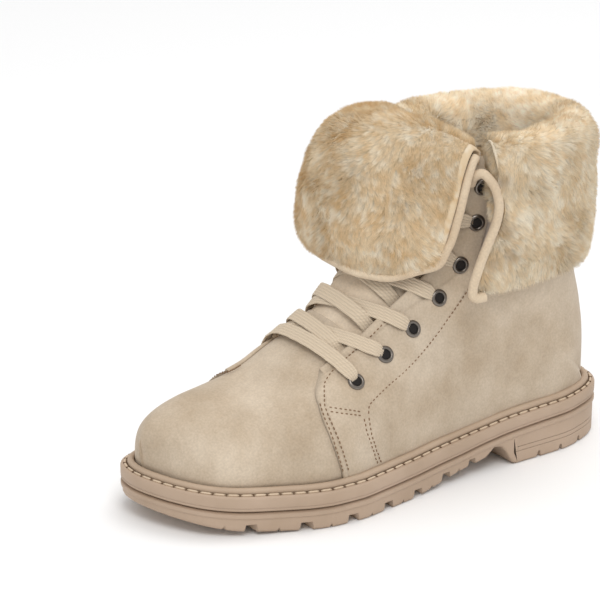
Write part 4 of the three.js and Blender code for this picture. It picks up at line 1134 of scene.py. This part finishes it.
def lock_centres(u, v, u_range, v_range, cells, rng):
    """Nearest centre of a jittered grid, so that neighbouring hairs lean together."""
    cu, cv = cells
    fu = (u - u_range[0]) / (u_range[1] - u_range[0]) * cu
    fv = (v - v_range[0]) / (v_range[1] - v_range[0]) * cv
    jitter = rng.rand(cu + 3, cv + 3, 2)
    best, pick_u, pick_v = np.full(len(u), 1e9), fu.copy(), fv.copy()
    for du in (-1, 0, 1):
        for dv in (-1, 0, 1):
            iu, iv = np.floor(fu).astype(int) + du, np.floor(fv).astype(int) + dv
            q = jitter[np.clip(iu, -1, cu + 1) + 1, np.clip(iv, -1, cv + 1) + 1]
            gu, gv = iu + q[:, 0], iv + q[:, 1]
            dist = (gu - fu) ** 2 + (gv - fv) ** 2
            near = dist < best
            best = np.where(near, dist, best)
            pick_u, pick_v = np.where(near, gu, pick_u), np.where(near, gv, pick_v)
    return clamp(mix(*u_range, pick_u / cu), *u_range), clamp(mix(*v_range, pick_v / cv), *v_range)


def hairs(name, point, u_range, v_range, count, cells, length, seed, sign=1, lay=.8, lift=.75, warmth=.4,
          painted_light_gain=1.0, gather=.35):
    """Hairs on a surface, one thin triangle each, shaded with the pile rather than one by one."""
    rng = np.random.RandomState(seed)
    u, v = pick_even(point, u_range, v_range, count, rng)
    n = len(u)
    lock_u, lock_v = lock_centres(u, v, u_range, v_range, cells, rng)

    def grow(uu, vv, reach, wild):
        p, a, d, out = surface_frame(point, uu, vv)
        out = out * sign
        swirl = (1.0 * noise(p, 16, 2) + .45 * noise(p, 6, 3))[:, None]
        fall = (lay + .5 * noise(p, 13, 1))[:, None]
        base = p + out * (swell(p) - dented(p)[1] - .3)[:, None]
        way = unit(d * fall + a * (swirl + wild[:, :1]) + out * (lift + wild[:, 1:2]))
        return base, base + way * reach[:, None], way, a, out
    reach = length * (.7 + .6 * rng.rand(n))
    base, tip, way, a, out = grow(u, v, reach, (rng.rand(n, 2) - .5) * .7)
    _, lock_tip, _, _, _ = grow(lock_u, lock_v, np.full(n, length * 1.1), np.zeros((n, 2)))
    tip = mix(tip, lock_tip, gather)
    wide = .15 + .11 * rng.rand(n, 1)
    turn = unit(np.cross(way, out + (rng.rand(n, 3) - .5) * .9))
    verts = np.stack([base - turn * wide, base + turn * wide, tip], 1)
    # the tone is raised by a gain of painted light, for piles the lamps leave dim
    tone = fur_colour(mix(base, tip, .5), warmth, rng) * painted_light_gain
    # roots at .68 and tips at 1.1 of the tone: partly the fur's own darker roots and lighter tips, partly
    # painted shade deep in the pile, as the hairs cast no shadow
    colour = tone[:, None, :] * np.array([.68, .68, 1.1])[None, :, None]
    faces = np.arange(3 * n).reshape(-1, 3)
    obj = solid(name, verts.reshape(-1, 3), faces, HAIR, colour=colour.reshape(-1, 3))
    obj.visible_shadow = obj.visible_diffuse = False
    shade = unit(out * .85 + way * .35 + (rng.rand(n, 3) - .5) * .5)
    obj.data.normals_split_custom_set_from_vertices(np.repeat(shade, 3, 0).tolist())
    return obj


def fur_skin(point, us, vs, sign=1, warmth=.4):
    U, V = np.meshgrid(us, vs, indexing="ij")
    p, a, d, out = surface_frame(point, U, V)
    p = p + out * sign * (swell(p) - dented(p)[1] - .5)[..., None]
    # the skin is painted at .78 of the fur's tone: painted shade under the pile
    return p, fur_colour(p, warmth) * .78


def collar_surface(u, row):
    return collar_point(np.asarray(u, float), np.asarray(row, float))


cols = np.concatenate([[0, .004, .01], np.linspace(.02, .98, 220), [.99, .996, 1]])
rows_of = np.linspace(0, 18, 150)
probe, _, _, probe_out = surface_frame(collar_surface, np.array([.5]), np.array([7.0]))
collar_sign = 1 if (probe_out[0] @ (probe[0] - np.array([-1, y_at(LEG_AT), 150]))) > 0 else -1
p, colour = fur_skin(collar_surface, cols, rows_of, sign=collar_sign)
U, V = np.meshgrid(cols, rows_of, indexing="ij")
flat = collar_surface(U, V)
# painted shade: past the fur's lower edge the collar's leather side is coloured a darker tan, as in shadow
colour = mix(colour, np.array(srgb(172, 146, 116)), smooth(11.6, 12.6, V)[..., None])
hairy = (smooth(1, 2.5, V) * smooth(12.4, 11.4, V))[..., None]
p = flat * (1 - hairy) + p * hairy
count = p.shape[1]
faces = list(grid_faces(p.shape[0], count, wrap=True))
faces += [tuple(range(count)), tuple(range((p.shape[0] - 1) * count, p.shape[0] * count))[::-1]]
collar = solid("collar_skin", p.reshape(-1, 3), faces, FUR, colour=colour.reshape(-1, 3))
outward(collar)


def end_face(end):
    """The folded collar's front face: u across from its inside to its outside, v down from the rim."""
    def point(u, v):
        u, v = np.broadcast_arrays(np.asarray(u, float), np.asarray(v, float))
        inner, outer = collar_surface(end, 3.2 - v * .5), collar_surface(end, 4.2 + v)
        return inner + (outer - inner) * u[..., None]
    return point


def end_pile(name, end, seed):
    face = end_face(end)
    ahead = surface_frame(face, np.array([.5]), np.array([1.5]))[3][0]
    return hairs(name, face, (0, 1), (0, 4.0), 9000, (6, 14), length=3.8, seed=seed,
                 sign=1 if ahead[1] < 0 else -1, lay=.5, warmth=.2)


# share round the collar that the pile covers
NEARLY_ALL = (.0015, .9985)
# The collar's two piles are painted 1.06 and 1.14 times lighter: painted light where the lamps leave them dim.
cuff_pieces = [
    collar,
    hairs("collar_pile", collar_surface, NEARLY_ALL, (4.4, 11.3), 130000, (118, 42), length=4.6, seed=11,
          sign=collar_sign, lay=.6, warmth=.16, painted_light_gain=1.06, gather=.45),
    hairs("collar_rim_pile", collar_surface, NEARLY_ALL, (.3, 4.9), 92000, (118, 20), length=4.4, seed=12,
          sign=collar_sign, lay=.35, warmth=.14, painted_light_gain=1.14, gather=.45),
    end_pile("collar_end_pile_1", 0, 14),
    end_pile("collar_end_pile_2", 1, 15)]
for piece in cuff_pieces:
    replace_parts(piece, "collar_fur")

# Tongue flap: fur on its face, leather behind
THICK_MIDDLE = curve(flap_row, np.array([.36, .36, .4, .46, .56, .6, .6, .44]) * FUR_DEEP)
THICK_EDGE = curve(flap_row, np.array([.16, .16, .18, .2, .28, .36, .36, .3]) * FUR_DEEP)
ROLL = curve(flap_row, np.array([.04, .06, .08, .1, .15, .2, .2, .24]) * FUR_DEEP)


def flap_full(u, down):
    side = clamp(np.minimum(u, 1 - u) * 6, 0, 1)
    low = clamp((7 - down) * 1.3 + .1, 0, 1)
    return np.sqrt(side * (2 - side) * low * (2 - low))


def flap_front(u, down):
    full = flap_full(u, down)
    return flap_point(clamp(u, 0, 1), down, (1 - full) * ROLL(clamp(down, 0, 7)))


us = np.concatenate([np.linspace(0, .08, 12)[:-1], np.linspace(.08, .92, 110)[:-1], np.linspace(.92, 1, 12)])
ws = np.concatenate([np.linspace(0, 6.6, 110)[:-1], np.linspace(6.6, 7, 8)])
U, W = np.meshgrid(us, ws, indexing="ij")
probe, _, _, probe_out = surface_frame(flap_front, np.array([.5]), np.array([5.0]))
flap_sign = 1 if probe_out[0][1] < 0 else -1
front, colour = fur_skin(flap_front, us, ws, sign=flap_sign, warmth=.6)
full = flap_full(U, W)
front = mix(flap_front(U, W), front, smooth(0, .5, full)[..., None])
tight = 1 - .5 * smooth(.6, .88, U) * smooth(4.5, 3, W)
back = flap_point(U, W, (1 - full) * ROLL(W) + tight * mix(THICK_EDGE(W), THICK_MIDDLE(W), full))
n_u, n_w = U.shape
verts = np.concatenate([front.reshape(-1, 3), back.reshape(-1, 3)])
faces = list(grid_faces(n_u, n_w)) + list(grid_faces(n_u, n_w, flip=True, base=n_u * n_w))
border = ([i * n_w for i in range(n_u)] + [(n_u - 1) * n_w + j for j in range(1, n_w)]
          + [i * n_w + n_w - 1 for i in range(n_u - 2, -1, -1)] + [j for j in range(n_w - 2, 0, -1)])
for a, b in zip(border, border[1:] + border[:1]):
    faces.append((a, b, b + n_u * n_w, a + n_u * n_w))
tints = np.concatenate([colour.reshape(-1, 3), np.tile(np.array(srgb(196, 172, 140)), (n_u * n_w, 1))])
flap = solid("flap_skin", verts, faces, FUR, colour=tints)
outward(flap)
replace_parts(flap, "tongue_fur")


def flap_crest(u, v):
    """Over the top of the fold and down its far side."""
    behind = flap_point(u, clamp(v - 1, 0, 3), THICK_MIDDLE(0))
    return mix(flap_front(u, np.zeros_like(v)), behind, clamp(v, 0, 1)[..., None])


crest_sign = 1 if surface_frame(flap_crest, np.array([.5]), np.array([2.0]))[3][0][1] > 0 else -1
for pile in (
        hairs("flap_pile", flap_front, (.035, .965), (.1, 6.8), 112000, (44, 58), length=4.6, seed=13,
              sign=flap_sign, lay=.6, warmth=.55, gather=.45),
        hairs("flap_crest_pile", flap_crest, (.03, .97), (.02, 2.6), 28000, (44, 10), length=4.4, seed=16,
              sign=crest_sign, lay=.4, warmth=.5)):
    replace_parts(pile, "tongue_fur")


# Piped edges
def cord_on(name, points, radius, material, node):
    verts, faces = tube(spline(points, 160), radius, 18)
    piece = solid(name, verts, faces, material)
    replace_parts(piece, node)


# The outer binding hooks inwards at the fold. Picture place and side distance in mm
CUFF_EDGE = [
    (471, 184, 31), (474, 177, 34), (482, 173.5, 38), (490, 180, 41), (496.5, 192, 43.5),
    (499, 206, 44.5), (495.5, 225, 45), (489, 241.5, 45), (482.5, 258, 45), (477, 274, 45.5),
    (473, 288, 45.5), (472.5, 295.5, 45.5), (478, 298.5, 46), (485, 297, 46.5)]
cord_on("collar_edge_outer", [seen_at(*q) for q in CUFF_EDGE], 2.5, LEATHER, "collar_piping_outer")
ups = np.array([171, 165, 157, 147, 137, 127, 117, 109, 105.5])
line = leg_point(end_turn(-1, ups), ups, 8.0)
line[:, 1] -= 2.65
cord_on("collar_edge_inner", line, 2.75, LEATHER, "collar_piping_inner")

edge = []


def edge_put(u, down, du, dd):
    depth = .28 * FUR_DEEP
    a, b = flap_point(u, down, depth), flap_point(u - du * .03, down - dd * .1, depth)
    edge.append(a + unit(a - b) * 2.65)


side_rows = [2.4, 3, 3.7, 4.4, 5.1, 5.8, 6.4]
for down in side_rows:
    edge_put(0, down, -1, 0)
edge_put(0, 6.9, -1, 2.2)
for j in range(1, 12):
    edge_put(j / 12, 7, 0, 1)
edge_put(1, 6.9, 1, 2.2)
for down in side_rows[::-1]:
    edge_put(1, down, 1, 0)
cord_on("flap_edge", np.array(edge), 2.25, LEATHER, "tongue_piping")


# Insole: a fleece sock
rings = []
for inset, up in ((11, 0), (11, 2.6), (12, 3), (16, 3.2)):
    ring = outline(90, inset)
    rings.append(np.column_stack([ring, on_top(at_y(ring[:, 1])) + up]))
verts, faces = close_stack(rings)
fleece = np.tile(np.array(srgb(206, 184, 150)), (len(verts), 1))
insole = solid("insole_look", verts, faces, FUR, colour=fleece)
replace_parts(insole, "insole")


# Seams
seam_grid = {}
for side in (1, -1):
    tt, vv = np.meshgrid(np.linspace(.3, 20, 500), np.linspace(0, .985, 200), indexing="ij")
    pts = upper_point(tt, vv, side, 0.0)
    normal = face_out(pts, grid_normals(pts))
    seam_grid[side] = (pts.reshape(-1, 3), normal.reshape(-1, 3))


def on_side(at, z, side, offset=OVERLAY):
    """Points of the upper's side by station and height, with the direction off the surface."""
    pts, normals = seam_grid[side]
    out, ways = [], []
    for a, h in zip(np.atleast_1d(at), np.atleast_1d(z)):
        d = (pts[:, 1] - y_at(a)) ** 2 + (pts[:, 2] - h) ** 2
        best = np.argsort(d)[:4]
        w = 1 / (d[best] + 1e-4)
        out.append((pts[best] * w[:, None]).sum(0) / w.sum())
        ways.append((normals[best] * w[:, None]).sum(0) / w.sum())
    ways = unit(np.array(ways))
    return np.array(out) + ways * offset, ways


def seen_on_side(places, offset=OVERLAY, n=110):
    """Points of the outer side seen along a line of the picture."""
    pts, normals = seam_grid[1]
    rel = pts / 1000 - EYE
    depth = rel @ EYE_FORWARD
    seen = np.stack([300 + FOCAL_PX * (rel @ EYE_RIGHT) / depth, 300 - FOCAL_PX * (rel @ EYE_UP) / depth], 1)
    facing = np.sum(normals * rel, 1) < 0
    pts, normals, seen = pts[facing], normals[facing], seen[facing]
    line = spline(np.array([(x, y, 0) for x, y in places]), n)[:, :2]
    out, ways = [], []
    for q in line:
        d = np.sum((seen - q) ** 2, 1)
        best = np.argpartition(d, 4)[:4]
        w = (1 / (d[best] + .02))[:, None]
        out.append((pts[best] * w).sum(0) / w.sum())
        ways.append((normals[best] * w).sum(0) / w.sum())
    out, ways = np.array(out), unit(np.array(ways))
    for _ in range(4):
        out[1:-1] = (out[:-2] + 2 * out[1:-1] + out[2:]) / 4
    return out + ways * offset, ways


# Stitch lines of the outer side, as places of the picture
OUTER_ROWS = [
    [(347.8, 358), (374.4, 333.3), (405.6, 297.8), (420, 282), (434.4, 266), (449, 238), (459, 212),
     (466.4, 189.6)],
    [(347.8, 358), (330, 375.6), (324.4, 386.7), (324.4, 404.4), (326.7, 413.3), (333.3, 428.9),
     (341, 450), (347.8, 472)],
    [(319.6, 404), (322.3, 414), (327.5, 428), (334, 448), (342, 474)],
    [(327.8, 407.8), (343.3, 410), (361, 412.2)],
    [(329, 412.2), (345.5, 414.4), (361, 416)],
    [(362.2, 417.8), (364.4, 428.9), (371, 448.9), (376.7, 466)],
    [(366.9, 416.7), (369, 431), (374.4, 448.9), (380, 464)],
    [(366.9, 415), (367, 406.7), (371, 401.5), (383.3, 388.9), (405.5, 369), (428, 344), (447, 318),
     (465, 292), (478, 270)]]


def stitch_row(points, normals, pitch=2.6, long=1.5, thick=.32, lift=.05):
    d = np.concatenate([[0], np.cumsum(np.linalg.norm(np.diff(points, axis=0), axis=1))])
    parts = []
    for k in range(int(d[-1] / pitch)):
        s = (k + .5) * pitch + np.array([-.5, -.25, 0, .25, .5]) * long
        p = np.stack([np.interp(s, d, points[:, i]) for i in range(3)], 1)
        n = unit(np.stack([np.interp(s, d, normals[:, i]) for i in range(3)], 1))
        p = p + n * (lift + np.array([-.25, .08, .15, .08, -.25]))[:, None]
        parts.append(tube(p, np.array([.6, 1, 1, 1, .6]) * thick, 5))
    return parts


def seam(rows, side, offset=OVERLAY, shift=(0,), n=90):
    line = spline(np.array([(a * LENGTH, h, 0) for a, h in rows]), n)
    way = unit(np.gradient(line, axis=0))
    parts = []
    for s in shift:
        at = (line[:, 0] - way[:, 1] * s) / LENGTH
        z = line[:, 1] + way[:, 0] * s
        p, normals = on_side(at, z, side, offset)
        for _ in range(3):
            p[1:-1] = (p[:-2] + 2 * p[1:-1] + p[2:]) / 4
        parts += stitch_row(p, normals)
    return parts


stitches = []
for row, lift in zip(OUTER_ROWS, (.05, .1, .6, .05, .05, .05, .05, .05)):
    stitches += stitch_row(*seen_on_side(row), lift=lift)
zs = np.linspace(22, 74, 30)
for back in (1.7, 3.6):
    stitches += stitch_row(*on_side(front_curve[-1](zs) - back / LENGTH, zs, -1))
stitches += seam([(.655, 24), (.667, 32), (.676, 39), (.675, 46), (.674, 52.9)], -1, shift=(-1, 1))
stitches += seam([(.738, 57), (.705, 55), (.678, 53.2)], -1, shift=(-1, 1))
stitches += seam([(.617, 51.7), (.615, 55.7), (.598, 59.5), (.558, 66.1), (.499, 72.5), (.46, 81), (.429, 90.7),
                  (.405, 98.2), (.38, 105.1), (.36, 118)], -1)
tt = np.linspace(8.4, 19.8, 160)
r = reach_at(tt, THROAT[-1] - 3.2, OVERLAY)
stitches += stitch_row(at_reach(tt, r, OVERLAY), reach_normal(tt, r))
verts, faces = many(stitches)
solid("upper_stitches", verts, faces, THREAD)


# Floor, light and camera
floor_white = principled("floor_white", (.93, .93, .93), .9)[0]
bpy.ops.mesh.primitive_plane_add(size=8, location=(0, 0, -.0002))
floor = bpy.context.object
floor.name = "floor"
floor.data.materials.append(floor_white)

world = bpy.data.worlds.new("studio")
bpy.context.scene.world = world
world.use_nodes = True
world.node_tree.nodes["Background"].inputs["Color"].default_value = (1, 1, 1, 1)
world.node_tree.nodes["Background"].inputs["Strength"].default_value = .78


def aim(obj, right, up, back, place):
    m = Matrix.Identity(4)
    for i in range(3):
        m[i][0], m[i][1], m[i][2], m[i][3] = right[i], up[i], back[i], place[i]
    bpy.context.scene.collection.objects.link(obj)
    obj.matrix_world = m


def area_light(name, place, target, size, power):
    light = bpy.data.lights.new(name, "AREA")
    light.energy = power
    light.size = size
    back = unit(np.array(place) - np.array(target))
    right = unit(np.cross([0, 0, 1.0], back))
    aim(bpy.data.objects.new(name, light), right, np.cross(back, right), back, place)


MIDDLE = (0, -.09, .08)
area_light("key", (1.15, -.75, 1.7), MIDDLE, .9, 15)
area_light("top", (-.2, .5, 1.9), MIDDLE, 1.2, 9)

camera = bpy.data.cameras.new("camera")
camera.sensor_width = 36
camera.lens = LENS
camera_object = bpy.data.objects.new("camera", camera)
aim(camera_object, EYE_RIGHT, EYE_UP, -EYE_FORWARD, EYE)
bpy.context.scene.camera = camera_object
scene = bpy.context.scene
scene.view_settings.view_transform = "Standard"
scene.view_settings.look = "None"
